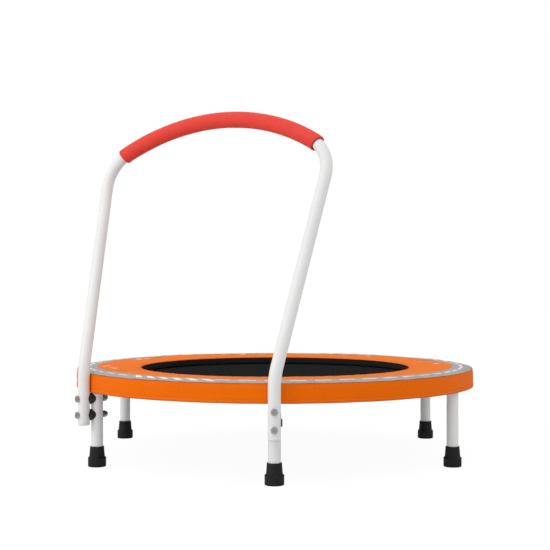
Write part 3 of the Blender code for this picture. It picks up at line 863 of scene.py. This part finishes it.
def top_bar_centre():
    (_, centre_t), _ = shoulder()
    return (0.0, centre_t - (TOP_BAR_ROUND - SHOULDER_ROUND) * cos(TOP_BAR_HALF_ANGLE))


def plane_arc(centre, radius, start, end, steps):
    angles = [start + (end - start) * i / steps for i in range(steps + 1)]
    s, t = centre
    return [handle_plane_point(s + radius * sin(a), t + radius * cos(a)) for a in angles]


def lower_bend(steps):
    """Points round the bend between the upright foot of the right post and its leaning part."""
    corner = handle_plane_point(POST_SIDE, 0)
    lean = (handle_plane_point(*shoulder()[1]) - corner).normalized()
    turn = UP.angle(lean)
    start = corner - UP * POST_BEND_ROUND * tan(turn / 2)
    sideways = (lean - UP * UP.dot(lean)).normalized()
    centre = start + sideways * POST_BEND_ROUND
    angles = [turn * i / steps for i in range(steps + 1)]
    return [centre + (UP * sin(a) - sideways * cos(a)) * POST_BEND_ROUND for a in angles]


def half_bar():
    return plane_arc(top_bar_centre(), TOP_BAR_ROUND, TOP_BAR_HALF_ANGLE, 0.0, 30)[1:]


def right_half():
    """Centre line from the right post's foot to the middle of the top bar."""
    corner = handle_plane_point(POST_SIDE, 0)
    bend = plane_arc(shoulder()[0], SHOULDER_ROUND, pi / 2 + POST_FLARE, TOP_BAR_HALF_ANGLE, 18)
    return [Vector((corner.x, corner.y, POST_BOTTOM))] + lower_bend(12) + bend + half_bar()


def right_half_of_grip():
    """Centre line from the grip's end, a little way down the shoulder, to the middle of the top bar."""
    end = TOP_BAR_HALF_ANGLE + GRIP_PAST_TOP_BAR / SHOULDER_ROUND
    return plane_arc(shoulder()[0], SHOULDER_ROUND, end, TOP_BAR_HALF_ANGLE, 4) + half_bar()


def mirrored(points):
    return points + [Vector((-p.x, p.y, p.z)) for p in reversed(points[:-1])]


def make_handle():
    tube = sweep(mirrored(right_half()), TUBE_RADIUS, 48)
    fixed("handle_bar", tube, "white_powder_coat", "handle_tube")
    top = POST_BOTTOM - 0.0001
    outline = [(0.0, top), (TUBE_RADIUS, top), (TUBE_RADIUS, top - 0.0009), (0.0105, top - 0.0024)]
    outline.append((0.0, top - 0.0026))
    plug = turned(outline, [0, 0.0002, 0.0008, 0.0012, 0], 48)
    at_legs("end_plug_", plug, "white_plastic", "post_plug_", FRONT_LEGS, POST_RADIUS)


def make_grip():
    """A foam sleeve: rounded end lips, a surface that is not quite even, and a dark ring of painted shade on
    each end face.
    """
    path = mirrored(right_half_of_grip())
    first, last = path[0], path[-1]
    ahead_first = (path[1] - first).normalized()
    ahead_last = (last - path[-2]).normalized()
    turns = [radians(90 * i / 5) for i in range(6)]
    depths = [GRIP_LIP * (1 - cos(a)) for a in turns]
    lip = [GRIP_RADIUS - GRIP_LIP * (1 - sin(a)) for a in turns]
    middle = [p for p in path if min((p - first).length, (p - last).length) > 2 * GRIP_LIP]
    skin = [GRIP_RADIUS + noise.noise(Vector((p.x * 22.0, 0.3, 1.7))) * 0.00025 for p in middle]
    bore_depth = 0.012
    points = [first + ahead_first * bore_depth, first] + [first + ahead_first * d for d in depths] + middle
    points += [last - ahead_last * d for d in reversed(depths)] + [last, last - ahead_last * bore_depth]
    radii = [GRIP_BORE, GRIP_BORE] + lip + skin + lip[::-1] + [GRIP_BORE, GRIP_BORE]
    fixed("foam_sleeve", grip_skin(points, radii, 48), "red_foam", "foam_grip")

    # A thin dark ring on each end face: painted shade.
    rim = GRIP_RADIUS - GRIP_LIP + 0.0002
    outline = [(GRIP_BORE, -0.0003), (rim - 0.0003, -0.0003), (rim, 0.0), (rim, 0.0004)]
    end_shade_ring = lathe(outline + [(GRIP_BORE, 0.0004)], 48, closed=True)
    for side, point, inwards in (("right", first, 1), ("left", last, -1)):
        turn = (handle_direction(point) * inwards).to_track_quat("Z", "Y").to_matrix().to_4x4()
        end = moved(end_shade_ring, Matrix.Translation(point) @ turn)
        fixed("foam_end_shade_" + side, end, "painted_shade_foam", slot="red_foam")


def grip_skin(points, radii, sides):
    """Like sweep(), with one fixed plane of symmetry, so that points may double back at the ends."""
    side = Vector((0, cos(HANDLE_LEAN), -sin(HANDLE_LEAN)))
    verts = []
    for point, radius in zip(points, radii):
        normal = side.cross(handle_direction(point)).normalized()
        for j in range(sides):
            angle = tau * j / sides
            verts.append(point + (side * cos(angle) + normal * sin(angle)) * radius)
    return verts, grid_faces(len(points), sides, wrap_columns=True)


def handle_direction(point):
    """Direction of the handle's centre line at a point of its top bar or shoulder."""
    up = Vector((0, sin(HANDLE_LEAN), cos(HANDLE_LEAN)))
    t = (point - handle_plane_point(0, 0)).dot(up)
    angle = atan2(point.x, t - top_bar_centre()[1])
    if abs(angle) > TOP_BAR_HALF_ANGLE:
        (centre_s, centre_t), _ = shoulder()
        angle = copysign(atan2(abs(point.x) - centre_s, t - centre_t), angle)
    return (Vector((-1, 0, 0)) * cos(angle) + up * sin(angle)).normalized()


# ---- fasteners, made along +X


def turned_along_x(profile, steps):
    """A (distance, radius) profile turned about the X axis."""
    verts, faces = lathe([(radius, x) for x, radius in profile], steps)
    return [(x, y, z) for y, z, x in verts], faces


def chamfer_body(low, high, both_ends=True):
    """A round body whose conical ends take the corners off a hexagon."""
    flat = ACROSS_FLATS / 2 * CHAMFER_START
    wide = ACROSS_CORNERS * CHAMFER_CLEAR
    depth = (wide - flat) * tan(CHAMFER_ANGLE)
    profile = [(low, 0.0)]
    profile += [(low, flat), (low + depth, wide)] if both_ends else [(low, wide)]
    profile += [(high - depth, wide), (high, flat), (high, 0.0)]
    return turned_along_x(profile, 48)


def bolt_head_mesh():
    """A chamfered hexagon with a shallow dish and a hexagon socket."""
    top = BOLT_HEAD_HEIGHT
    past = top + 0.001
    floor = top - DISH_DEPTH
    dish = [(floor, 0.0), (floor, 0.6 * DISH_RADIUS), (top, DISH_RADIUS), (past, DISH_RADIUS), (past, 0.0)]
    steps = [
        (chamfer_body(0.0, top, both_ends=False), "INTERSECT"),
        (turned_along_x(dish, 40), "DIFFERENCE"),
        (rod(top - SOCKET_DEPTH, past, SOCKET_RADIUS, 6), "DIFFERENCE"),
    ]
    return boolean_result(rod(0.0, top, ACROSS_CORNERS, 6), *steps)


def cap_nut_mesh():
    low = -NUT_HEX_HEIGHT
    turns = [pi / 2 * i / 12 for i in range(13)]
    dome = [(low - NUT_DOME_HEIGHT * cos(a), NUT_DOME_RADIUS * sin(a)) for a in turns]
    dome += [(low / 2, NUT_DOME_RADIUS), (low / 2, 0.0)]
    steps = [(chamfer_body(low, 0.0), "INTERSECT"), (turned_along_x(dome, 48), "UNION")]
    return boolean_result(rod(low, 0.0, ACROSS_CORNERS, 6), *steps)


def spacer_mesh():
    """An oval block, hollowed at its ends to fit the leg and the post."""
    half = 2 * SPACER_HALF_HEIGHT
    body = rod(RING_RADIUS + SPACER_INSET, POST_RADIUS - SPACER_INSET, SPACER_HALF_HEIGHT, 72)
    body = moved(body, Matrix.Diagonal((1, SPACER_HALF_WIDTH / SPACER_HALF_HEIGHT, 1, 1)))
    cuts = [sweep([(x, 0, -half), (x, 0, half)], TUBE_RADIUS + GAP, 72) for x in (RING_RADIUS, POST_RADIUS)]
    return boolean_result(body, *[(cut, "DIFFERENCE") for cut in cuts])


def make_fasteners():
    head_seat = POST_RADIUS + TUBE_RADIUS
    places = [(leg, level) for leg in FRONT_LEGS for level in LEVELS]
    kinds = (
        ("bolt_head", "handle_bolt_", bolt_head_mesh(), head_seat, "zinc_steel", HEX_BEVEL),
        ("cap_nut_dome", "cap_nut_", cap_nut_mesh(), RING_INSIDE, "zinc_steel", HEX_BEVEL),
        ("saddle", "saddle_spacer_", spacer_mesh(), 0.0, "black_plastic", SPACER_BEVEL),
    )
    for kind, node, shape, radius, look, width in kinds:
        for leg, level in places:
            mesh = shape.copy()
            if kind != "saddle":
                mesh.transform(Matrix.Rotation(BOLT_TWISTS[level], 4, "X"))
            mesh.transform(radial(LEG_ANGLES[leg], radius, BOLT_HEIGHTS[level]))
            piece = piece_from_mesh(f"{kind}_{leg}_{level}", mesh, look)
            bevel(piece, width)
            attach(piece, look, f"{node}{leg}_{level}")
    for leg, level in places:
        seats = [radial(LEG_ANGLES[leg], r, BOLT_HEIGHTS[level]) for r in (RING_INSIDE, head_seat)]
        shank = sweep([seat.to_translation() for seat in seats], BOLT_RADIUS, 32)
        fixed(f"bolt_shank_{leg}_{level}", shank, "zinc_steel")


# ---- pad


def crown(radius):
    """Height of the pad's top at a radius."""
    if radius < PAD_PEAK_RADIUS:
        share = (PAD_PEAK_RADIUS - radius) / (PAD_PEAK_RADIUS - PAD_OPENING)
        return PAD_PEAK - (PAD_PEAK - PAD_OPENING_TOP) * share**2
    share = (radius - PAD_PEAK_RADIUS) / (PAD_OUTER - PAD_PEAK_RADIUS)
    return PAD_PEAK - (PAD_PEAK - PAD_OUTER_TOP) * share**2


def ring_noise(angle, radius, scale, seed):
    """Smooth noise that closes round the ring."""
    return noise.noise(Vector((cos(angle) * scale, sin(angle) * scale, radius * 40.0 + seed)))


def top_shift(radius, height, angle):
    """Pad top: slow unevenness, and small puckers that run in from the seams."""
    outer = exp(-((PAD_OUTER - radius) / 0.012))
    inner = exp(-((radius - PAD_OPENING) / 0.018))
    pucker = ring_noise(angle, 0.0, 21.0, 5.0) * (0.0009 * outer + 0.0007 * inner)
    slow = ring_noise(angle, radius, 2.6, 11.0) * 0.0007
    fade = min(1.0, (PAD_OUTER - radius) / 0.006, (radius - PAD_OPENING) / 0.004)
    return radius, height + (pucker + slow) * max(0.0, fade)


def skirt_shift(radius, height, angle):
    """Skirt: it hangs almost straight, with faint upright folds that grow towards the hem."""
    drop = (SEAM_TOP - height) / (SEAM_TOP - SKIRT_BOTTOM)
    drop = max(0.0, min(1.0, drop))
    fold = ring_noise(angle, 0.0, 16.0, 2.0) * 0.0009 + ring_noise(angle, 0.0, 44.0, 8.0) * 0.0003
    return radius + fold * drop, height + ring_noise(angle, 0.0, 9.0, 3.0) * 0.0004 * drop


TOP_ROWS = 36
TOP_STEPS = 480
TOP_INSET = 0.0012
SEWN_INNER = 0.0045
SEWN_OUTER = 0.0026
GATHER = 0.030
GATHER_REACH = 0.018
LONGEST_MOVE = 0.0035
SWELL_SHARE = 0.35
CLOTH_FRAMES = 16
CLOTH_SETTINGS = {
    "quality": 5,
    "mass": 0.25,
    "tension_stiffness": 14,
    "compression_stiffness": 14,
    "shear_stiffness": 6,
    "bending_stiffness": 0.35,
    "vertex_group_mass": "sewn",
    "vertex_group_shrink": "gathered",
    "shrink_min": 0.0,
    "shrink_max": -GATHER,
    "use_pressure": True,
    "uniform_pressure_force": 2.4,
}


def top_panel_rows():
    """Radii of the printed panel's rows, close together at both seams."""
    first = PAD_OPENING + TOP_INSET
    last = PAD_OUTER - TOP_INSET
    turns = [pi * i / (TOP_ROWS - 1) for i in range(TOP_ROWS)]
    return [first + (last - first) * (0.5 - 0.5 * cos(a)) for a in turns]


def blown_up(part):
    """The panel's points after a short cloth simulation: air inside it, its two seams held and gathered."""
    obj = linked("panel_cloth", raw_mesh("panel_cloth", part))
    sewn = obj.vertex_groups.new(name="sewn")
    gathered = obj.vertex_groups.new(name="gathered")
    for i, v in enumerate(part[0]):
        radius = hypot(v[0], v[1])
        if radius < PAD_OPENING + SEWN_INNER or radius > PAD_OUTER - SEWN_OUTER:
            sewn.add([i], 1.0, "REPLACE")
        nearest = min(radius - PAD_OPENING, PAD_OUTER - radius)
        gathered.add([i], exp(-nearest / GATHER_REACH), "REPLACE")
    cloth = obj.modifiers.new("cloth", "CLOTH")
    for name, value in CLOTH_SETTINGS.items():
        setattr(cloth.settings, name, value)
    cloth.settings.effector_weights.gravity = 0
    cloth.collision_settings.use_collision = False
    cloth.collision_settings.use_self_collision = False
    cloth.point_cache.frame_start = 1
    cloth.point_cache.frame_end = CLOTH_FRAMES
    for step in range(1, CLOTH_FRAMES + 1):
        bpy.context.scene.frame_set(step)
    graph = bpy.context.evaluated_depsgraph_get()
    settled = [v.co.copy() for v in obj.evaluated_get(graph).data.vertices]
    bpy.data.objects.remove(obj, do_unlink=True)
    bpy.context.scene.frame_set(1)
    return settled


def held_back(before, after):
    """Adds the simulated swell and unevenness to the sewn shape, row by row, hardly raising the pad."""
    result = []
    for start in range(0, len(before), TOP_STEPS):
        row = range(start, start + TOP_STEPS)
        old_height = sum(before[i][2] for i in row) / TOP_STEPS
        new_height = sum(after[i].z for i in row) / TOP_STEPS
        swell = SWELL_SHARE * (new_height - old_height)
        for i in row:
            here = Vector(before[i])
            uneven = after[i].z - new_height
            move = Vector((after[i].x - here.x, after[i].y - here.y, uneven + swell))
            if move.length > LONGEST_MOVE:
                move *= LONGEST_MOVE / move.length
            result.append(here + move)
    return result


def closed_sheet(verts, rows, steps, thickness):
    """A ring-shaped sheet of rows of points, given a lower side and two edges."""
    lower = []
    for i in reversed(range(rows)):
        lower += [Vector(v) - UP * thickness for v in verts[i * steps : (i + 1) * steps]]
    return list(verts) + lower, grid_faces(2 * rows, steps, wrap_rows=True, wrap_columns=True)


def make_pad_top():
    """Printed panel from the edge roll to the outer seam, puffed up over the foam."""
    verts, faces = lathe([(r, crown(r)) for r in top_panel_rows()], TOP_STEPS, shift=top_shift)
    facing_up = [face[::-1] for face in faces]
    verts = held_back(verts, blown_up((verts, facing_up)))
    sheet = closed_sheet(verts, TOP_ROWS, TOP_STEPS, CLOTH)
    fixed("pad_top_panel", sheet, "printed_vinyl", "pad_cover", slot="orange_vinyl")


def make_skirt():
    """Outside panel: welt at the top seam, straight fall, and a doubled hem."""
    hem_line = SKIRT_BOTTOM + HEM_HEIGHT
    middle = (SEAM_TOP + hem_line) / 2
    welt = [(-0.0020, 0.0002), (-0.0012, 0.0003), (-0.0008, -0.0008), (-0.0010, -0.0020)]
    welt += [(-0.0005, -0.0042), (0.0001, -0.0080)]
    hem = [(0.0002, 0.0016), (-0.0002, 0.0002), (0.0006, -0.0016), (0.0008, -0.0050)]
    fold = [(0.0006, 0.0012), (0.0001, 0.0002), (-0.0008, 0.0), (-0.0018, 0.0006), (-0.0020, 0.0020)]
    outline = around(PAD_OUTER, SEAM_TOP, welt) + [(PAD_OUTER + 0.0004, middle)]
    outline += around(PAD_OUTER, hem_line, hem) + around(PAD_OUTER, SKIRT_BOTTOM, fold)
    outline += around(PAD_OUTER, hem_line, [(-0.0020, 0.0), (-CLOTH, 0.0010)])
    outline.append((PAD_OUTER - CLOTH, middle))
    outline += around(PAD_OUTER - CLOTH, SEAM_TOP, [(-0.0002, -0.0090), (-0.0012, -0.0034)])
    profile = []
    for i, here in enumerate(outline):
        profile.append(here)
        after = outline[(i + 1) % len(outline)]
        if dist(here, after) > LONGEST_SKIRT_STEP:
            profile += [tuple(Vector(here).lerp(Vector(after), k / 4)) for k in (1, 2, 3)]
    ring_piece("pad_skirt", profile, PAD_STEPS, "orange_vinyl", shift=skirt_shift)


def edge_wave(angle):
    return ring_noise(angle, 0.0, 30.0, 21.0) * 0.00025


def make_edge_roll():
    """The vinyl rolled over the pad's inner edge and a little way down its wall."""
    lip = PAD_OPENING + ROLL_LIP
    top = crown(PAD_OPENING)
    outline = around(lip, crown(lip), [(0.0, -0.0002), (-0.0003, 0.0003)])
    outline += around(PAD_OPENING, top, [(0.0016, 0.0003), (0.0007, -0.0001), (0.0001, -0.0008)])
    outline += around(PAD_OPENING, top - ROLL_DROP, [(-0.0002, 0.0), (0.0004, -0.0004), (0.0012, 0.0004)])

    def shift(radius, height, angle):
        share = max(0.0, 1.0 - (radius - PAD_OPENING) / ROLL_LIP)
        radius, height = top_shift(radius, height, angle)
        return radius + edge_wave(angle) * share, height

    ring_piece("pad_edge_roll", outline, PAD_STEPS, "orange_vinyl", shift=shift)


def make_edge_tape():
    """Black tape down the pad's inner wall, with a soft bead where it turns under."""
    top = crown(PAD_OPENING) - ROLL_DROP + 0.0004
    middle = (top + PAD_UNDERSIDE) / 2
    bead = [(-0.0005, -0.0012), (-0.0001, -0.0027), (0.0008, -0.0034), (0.0018, -0.0030), (0.0026, -0.0016)]
    bead += [(0.0034, -0.0012), (EDGE_TAPE, -0.0012), (EDGE_TAPE, -0.0004), (0.0012, -0.0001)]
    outline = [(PAD_OPENING - 0.0004, top), (PAD_OPENING - 0.0006, middle)]
    outline += around(PAD_OPENING, PAD_UNDERSIDE, bead)
    outline += [(PAD_OPENING + 0.0006, middle), (PAD_OPENING + 0.0004, top)]

    def shift(radius, height, angle):
        return radius + edge_wave(angle), height + ring_noise(angle, 0.0, 26.0, 23.0) * 0.0002

    ring_piece("pad_edge_tape", outline, PAD_STEPS, "black_cloth", slot="webbing_fabric", shift=shift)


def make_pad_foam():
    """The foam ring, and the black backing cloth under it."""
    skin = 0.0016
    inner = PAD_OPENING + skin
    outer = RING_RADIUS + TUBE_RADIUS
    low = PAD_UNDERSIDE + 0.0003
    radii = [inner + (outer - inner) * i / 12 for i in range(1, 12)]
    outline = [(inner, crown(inner) - 0.0030)] + [(r, crown(r) - skin) for r in radii]
    outline += [(outer, crown(outer) - skin - 0.0015), (outer, FOAM_OVER_RING)]
    outline += [(RING_RADIUS - 0.6 * TUBE_RADIUS, FOAM_OVER_RING), (RING_RADIUS - 1.05 * TUBE_RADIUS, low)]
    outline += [(inner, low)]
    ring_piece("foam_ring", outline, 360, "pale_foam", "pad_foam")

    low = PAD_UNDERSIDE - 0.0001
    start = PAD_OPENING + EDGE_TAPE - 0.002
    end = RING_RADIUS - 1.12 * TUBE_RADIUS
    cloth = [(start, low - 0.0001), (BACKING_LOW_RADIUS, low - 0.0002), (end, low - 0.0002)]
    cloth += [(end, low + 0.0003), (start, low + 0.0003)]

    def shift(radius, height, angle):
        return radius, height - abs(ring_noise(angle, radius, 14.0, 31.0)) * 0.0004

    ring_piece("pad_backing", cloth, 480, "black_cloth", slot="webbing_fabric", shift=shift)


def stitch_row(count, length, thread, where):
    """count short threads that dip into the cloth at both ends; where(angle) gives each one's matrix."""
    points = []
    radii = []
    for i in range(5):
        t = i / 4
        arch = sin(pi * t)
        points.append((0.0, (t - 0.5) * length, thread * (arch * 1.3 - 0.5)))
        radii.append(thread * (0.55 + 0.45 * arch))
    one = sweep(points, radii, 5)
    return merged([moved(one, where(tau * i / count)) for i in range(count)])


def make_pad_stitches():
    def on_skirt(radius, height):
        return lambda angle: facing_out(angle, *skirt_shift(radius, height, angle))

    def on_panel(angle):
        radius = PAD_OPENING + ROLL_LIP + 0.0022
        return radial(angle, radius, top_shift(radius, crown(radius), angle)[1] + 0.0002)

    rows = (
        ("hem_stitches", 760, 0.00028, on_skirt(PAD_OUTER + 0.0006, SKIRT_BOTTOM + HEM_HEIGHT - 0.0018)),
        ("seam_stitches", 760, 0.00024, on_skirt(PAD_OUTER - 0.0007, SEAM_TOP - 0.0032)),
        ("opening_stitches", 520, 0.00026, on_panel),
    )
    for name, count, thread, where in rows:
        fixed(name, stitch_row(count, 0.0030, thread, where), "orange_thread", slot="orange_vinyl")


# ---- mat and springs


MAT_RINGS = 60
MAT_STEPS = 192


def bending(name, part, look, *nodes, slot=None):
    """A piece with its placement baked into its mesh, standing for CAD nodes, which are hidden."""
    obj = mesh_piece(name, part, look)
    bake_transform(obj)
    if nodes:
        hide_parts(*nodes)


def mat_height(x, y):
    """Slight unevenness of the stretched cloth."""
    fade = max(0.0, 1.0 - (hypot(x, y) / MAT_RADIUS) ** 2)
    return noise.noise(Vector((x * 5.0, y * 5.0, 4.0))) * 0.0010 * fade - 0.0012 * fade


def make_mat():
    top = RING_HEIGHT + MAT_THICKNESS / 2
    verts = [(0, 0, top + mat_height(0, 0))]
    for i in range(1, MAT_RINGS + 1):
        for j in range(MAT_STEPS):
            x = MAT_RADIUS * i / MAT_RINGS * cos(tau * j / MAT_STEPS)
            y = MAT_RADIUS * i / MAT_RINGS * sin(tau * j / MAT_STEPS)
            verts.append((x, y, top + mat_height(x, y)))
    half = len(verts)
    verts += [(x, y, z - MAT_THICKNESS) for x, y, z in verts]
    faces = []
    for side in (0, half):
        faces += [(side, side + 1 + j, side + 1 + (j + 1) % MAT_STEPS) for j in range(MAT_STEPS)]
        rings = grid_faces(MAT_RINGS, MAT_STEPS, wrap_columns=True)
        faces += [tuple(side + 1 + i for i in face) for face in rings]
    rim = 1 + (MAT_RINGS - 1) * MAT_STEPS
    for j in range(MAT_STEPS):
        k = (j + 1) % MAT_STEPS
        faces.append((rim + j, rim + k, half + rim + k, half + rim + j))
    bending("mat_sheet", (verts, faces), "woven_mat", "jump_mat", slot="mat_fabric")


def make_webbing():
    """The band sewn round the mat's edge, one tab and one V-ring for each spring."""
    bottom = RING_HEIGHT - MAT_THICKNESS / 2
    rim = MAT_RADIUS + 0.0006
    inside = rim - 0.0140
    band = [(inside, RING_HEIGHT + 0.0019)]
    band += around(WEBBING_OUTER, RING_HEIGHT, [(-0.0010, 0.0021), (0.0, 0.0008)])
    band += around(WEBBING_OUTER, bottom, [(0.0, -0.0012), (-0.0010, -0.0022)])
    band += around(WEBBING_INNER, bottom, [(0.0, -0.0021), (-0.0003, -0.0012), (0.0, -0.0003)])
    band += [(rim, bottom - 0.0003), (rim, RING_HEIGHT + 0.0011), (inside, RING_HEIGHT + 0.0011)]

    def shift(radius, height, angle):
        return radius, height + ring_noise(angle, 0.0, 24.0, 41.0) * 0.0002

    edge = lathe(band, 480, closed=True, shift=shift)
    bending("mat_edge_band", edge, "webbing", "mat_webbing", slot="webbing_fabric")

    def on_band(radius):
        return lambda angle: radial(angle, *shift(radius, RING_HEIGHT + 0.0021, angle))

    for name, radius in (("inner", rim - 0.0125), ("outer", rim + 0.0030)):
        row = stitch_row(560, 0.0034, 0.00026, on_band(radius))
        bending("band_stitches_" + name, row, "grey_thread", slot="webbing_fabric")

    line = around(WEBBING_OUTER, bottom - 0.0024, [(-0.0220, 0.0), (-0.0080, -0.0001), (-0.0010, 0.0002)])
    upper = [(0.0008, -0.0008), (0.0008, 0.0008), (-0.0010, 0.0030), (-0.0100, 0.0024)]
    line += around(WEBBING_OUTER, RING_HEIGHT, upper)
    tabs = at_springs(strap(line, TAB_WIDTH, TAB_THICKNESS))
    bending("v_ring_tabs", tabs, "black_cloth", slot="webbing_fabric")

    corners = [(V_RING_ROOT, -V_RING_HALF_WIDTH), (V_RING_ROOT, V_RING_HALF_WIDTH)]
    corners += [(V_RING_BAR, V_RING_BAR_HALF_WIDTH), (V_RING_BAR, -V_RING_BAR_HALF_WIDTH)]
    loop = [(x, y, RING_HEIGHT) for x, y in corners]
    loop = rounded(loop, [0.0028, 0.0028, 0.0020, 0.0020], steps=5, closed=True)
    bending("v_rings", at_springs(sweep(loop, V_RING_WIRE, 12, closed=True)), "zinc_steel")


def at_springs(part):
    """A copy of a part at each spring, as one."""
    return merged([moved(part, about_z(angle)) for angle in SPRING_ANGLES])


def strap(line, width, thickness):
    """A flat strap: a (radius, height) line given width along Y and thickness."""
    smooth = rounded([(r, 0.0, z) for r, z in line], [0] + [0.0015] * (len(line) - 2) + [0], steps=3)
    section = [(y, side) for side in (1, -1) for y in (-0.5 * side, -0.46 * side, 0.46 * side, 0.5 * side)]
    verts = []
    for point, ahead in zip(smooth, directions(smooth)):
        normal = Vector((-ahead.z, 0, ahead.x)) * thickness / 2
        verts += [point + normal * side + Vector((0, y * width, 0)) for y, side in section]
    faces = grid_faces(len(smooth), len(section), wrap_columns=True)
    return verts, ends_closed(faces, len(smooth), len(section))


def spring_path():
    """Centre line of a spring along +X: hook, close coils, hook."""
    coil = SPRING_RADIUS - SPRING_WIRE
    length = SPRING_OUTER_END - SPRING_INNER_END
    hook = [(1.0, -1.02), (0.2, -1.10), (-0.70, -0.75), (-1.05, 0), (-0.70, 0.75), (0.2, 1.08), (1.6, 0.95)]
    path = [(V_RING_BAR + x * SPRING_HOOK, 0, z * SPRING_HOOK) for x, z in hook]
    path.append((SPRING_INNER_END - 0.0016, 0, coil * 0.98))
    count = SPRING_TURNS * COIL_STEPS
    for i in range(count + 1):
        angle = tau * i / COIL_STEPS
        path.append((SPRING_INNER_END + length * i / count, coil * sin(angle), coil * cos(angle)))
    path += [(SPRING_OUTER_END + 0.0016, 0, coil * 0.90), (SPRING_OUTER_END + 0.0050, 0, 0.0012)]
    end = [(-0.0020, 0.0004), (0.0020, 0.0002), (0.0042, -0.0008), (0.0052, -0.0032), (0.0050, -0.0052)]
    path += [(RING_INSIDE + x, 0, z) for x, z in end]
    return [(x, y, RING_HEIGHT + z) for x, y, z in path]


def make_springs():
    one = sweep(spring_path(), SPRING_WIRE, 7)
    for i, angle in enumerate(SPRING_ANGLES):
        bending(f"coil_{i + 1:02d}", moved(one, about_z(angle)), "zinc_steel", f"spring_{i + 1:02d}")


# ---- stage


CAMERA_DISTANCE = 2.642
CAMERA_HEIGHT = 0.398
CAMERA_AZIMUTH = radians(30.15)
SENSOR = 36.0
LENS = 73.1127
HORIZON_SHIFT = 0.013818

AHEAD = Vector((-sin(CAMERA_AZIMUTH), cos(CAMERA_AZIMUTH), 0))
RIGHT = Vector((cos(CAMERA_AZIMUTH), sin(CAMERA_AZIMUTH), 0))
LIGHT_PLACE = RIGHT * -2.8 - AHEAD * 1.7 + UP * 1.6
LIGHT_AIM = Vector((0, 0, 0.3))
LIGHT_SIZE = 2.2
LIGHT_POWER = 29.0
HORIZON_LIGHT = 0.46
ZENITH_LIGHT = 1.20


def make_floor():
    part = lathe([(0.0, 0.0), (1.0, 0.0), (4.0, 0.0), (14.0, 0.0)], 96)
    floor = mesh_piece("studio_floor", part, "pale_floor", SAME_POINT)
    floor.location.z = -0.0002


def make_light():
    data = bpy.data.lights.new("left", "AREA")
    data.shape = "DISK"
    data.size = LIGHT_SIZE
    data.energy = LIGHT_POWER
    light = linked("left", data)
    light.location = LIGHT_PLACE
    light.rotation_euler = (LIGHT_AIM - LIGHT_PLACE).to_track_quat("-Z", "Y").to_euler()


def make_world():
    """White to the camera; as a light, a dome that is softer at the horizon than overhead."""
    world = bpy.data.worlds.new("studio")
    sky = Nodes(world)
    height = sky.node("SeparateXYZ", "Z", {0: sky.node("TexCoord", "Generated")})
    dome = sky.node("MapRange", "Result", {"Value": height, "To Min": HORIZON_LIGHT, "To Max": ZENITH_LIGHT})
    seen = sky.node("LightPath", "Is Camera Ray")
    level = sky.node("MapRange", "Result", {"Value": seen, "To Min": dome, "To Max": 1.0})
    background = sky.tree.nodes["Background"]
    sky.put(background.inputs["Strength"], level)
    sky.put(background.inputs["Color"], (1, 1, 1))
    bpy.context.scene.world = world


def make_camera():
    data = bpy.data.cameras.new("camera")
    data.sensor_width = SENSOR
    data.lens = LENS
    data.shift_y = HORIZON_SHIFT
    camera = linked("camera", data)
    x = CAMERA_DISTANCE * sin(CAMERA_AZIMUTH)
    y = -CAMERA_DISTANCE * cos(CAMERA_AZIMUTH)
    camera.location = (x, y, CAMERA_HEIGHT)
    camera.rotation_euler = (pi / 2, 0, CAMERA_AZIMUTH)
    bpy.context.scene.camera = camera


make_legs()
make_feet()
make_frame_ring()
make_handle()
make_grip()
make_fasteners()
make_pad_top()
make_skirt()
make_edge_roll()
make_edge_tape()
make_pad_foam()
make_pad_stitches()
make_mat()
make_webbing()
make_springs()
make_floor()
make_light()
make_world()
make_camera()
bpy.context.scene.view_settings.view_transform = "Standard"
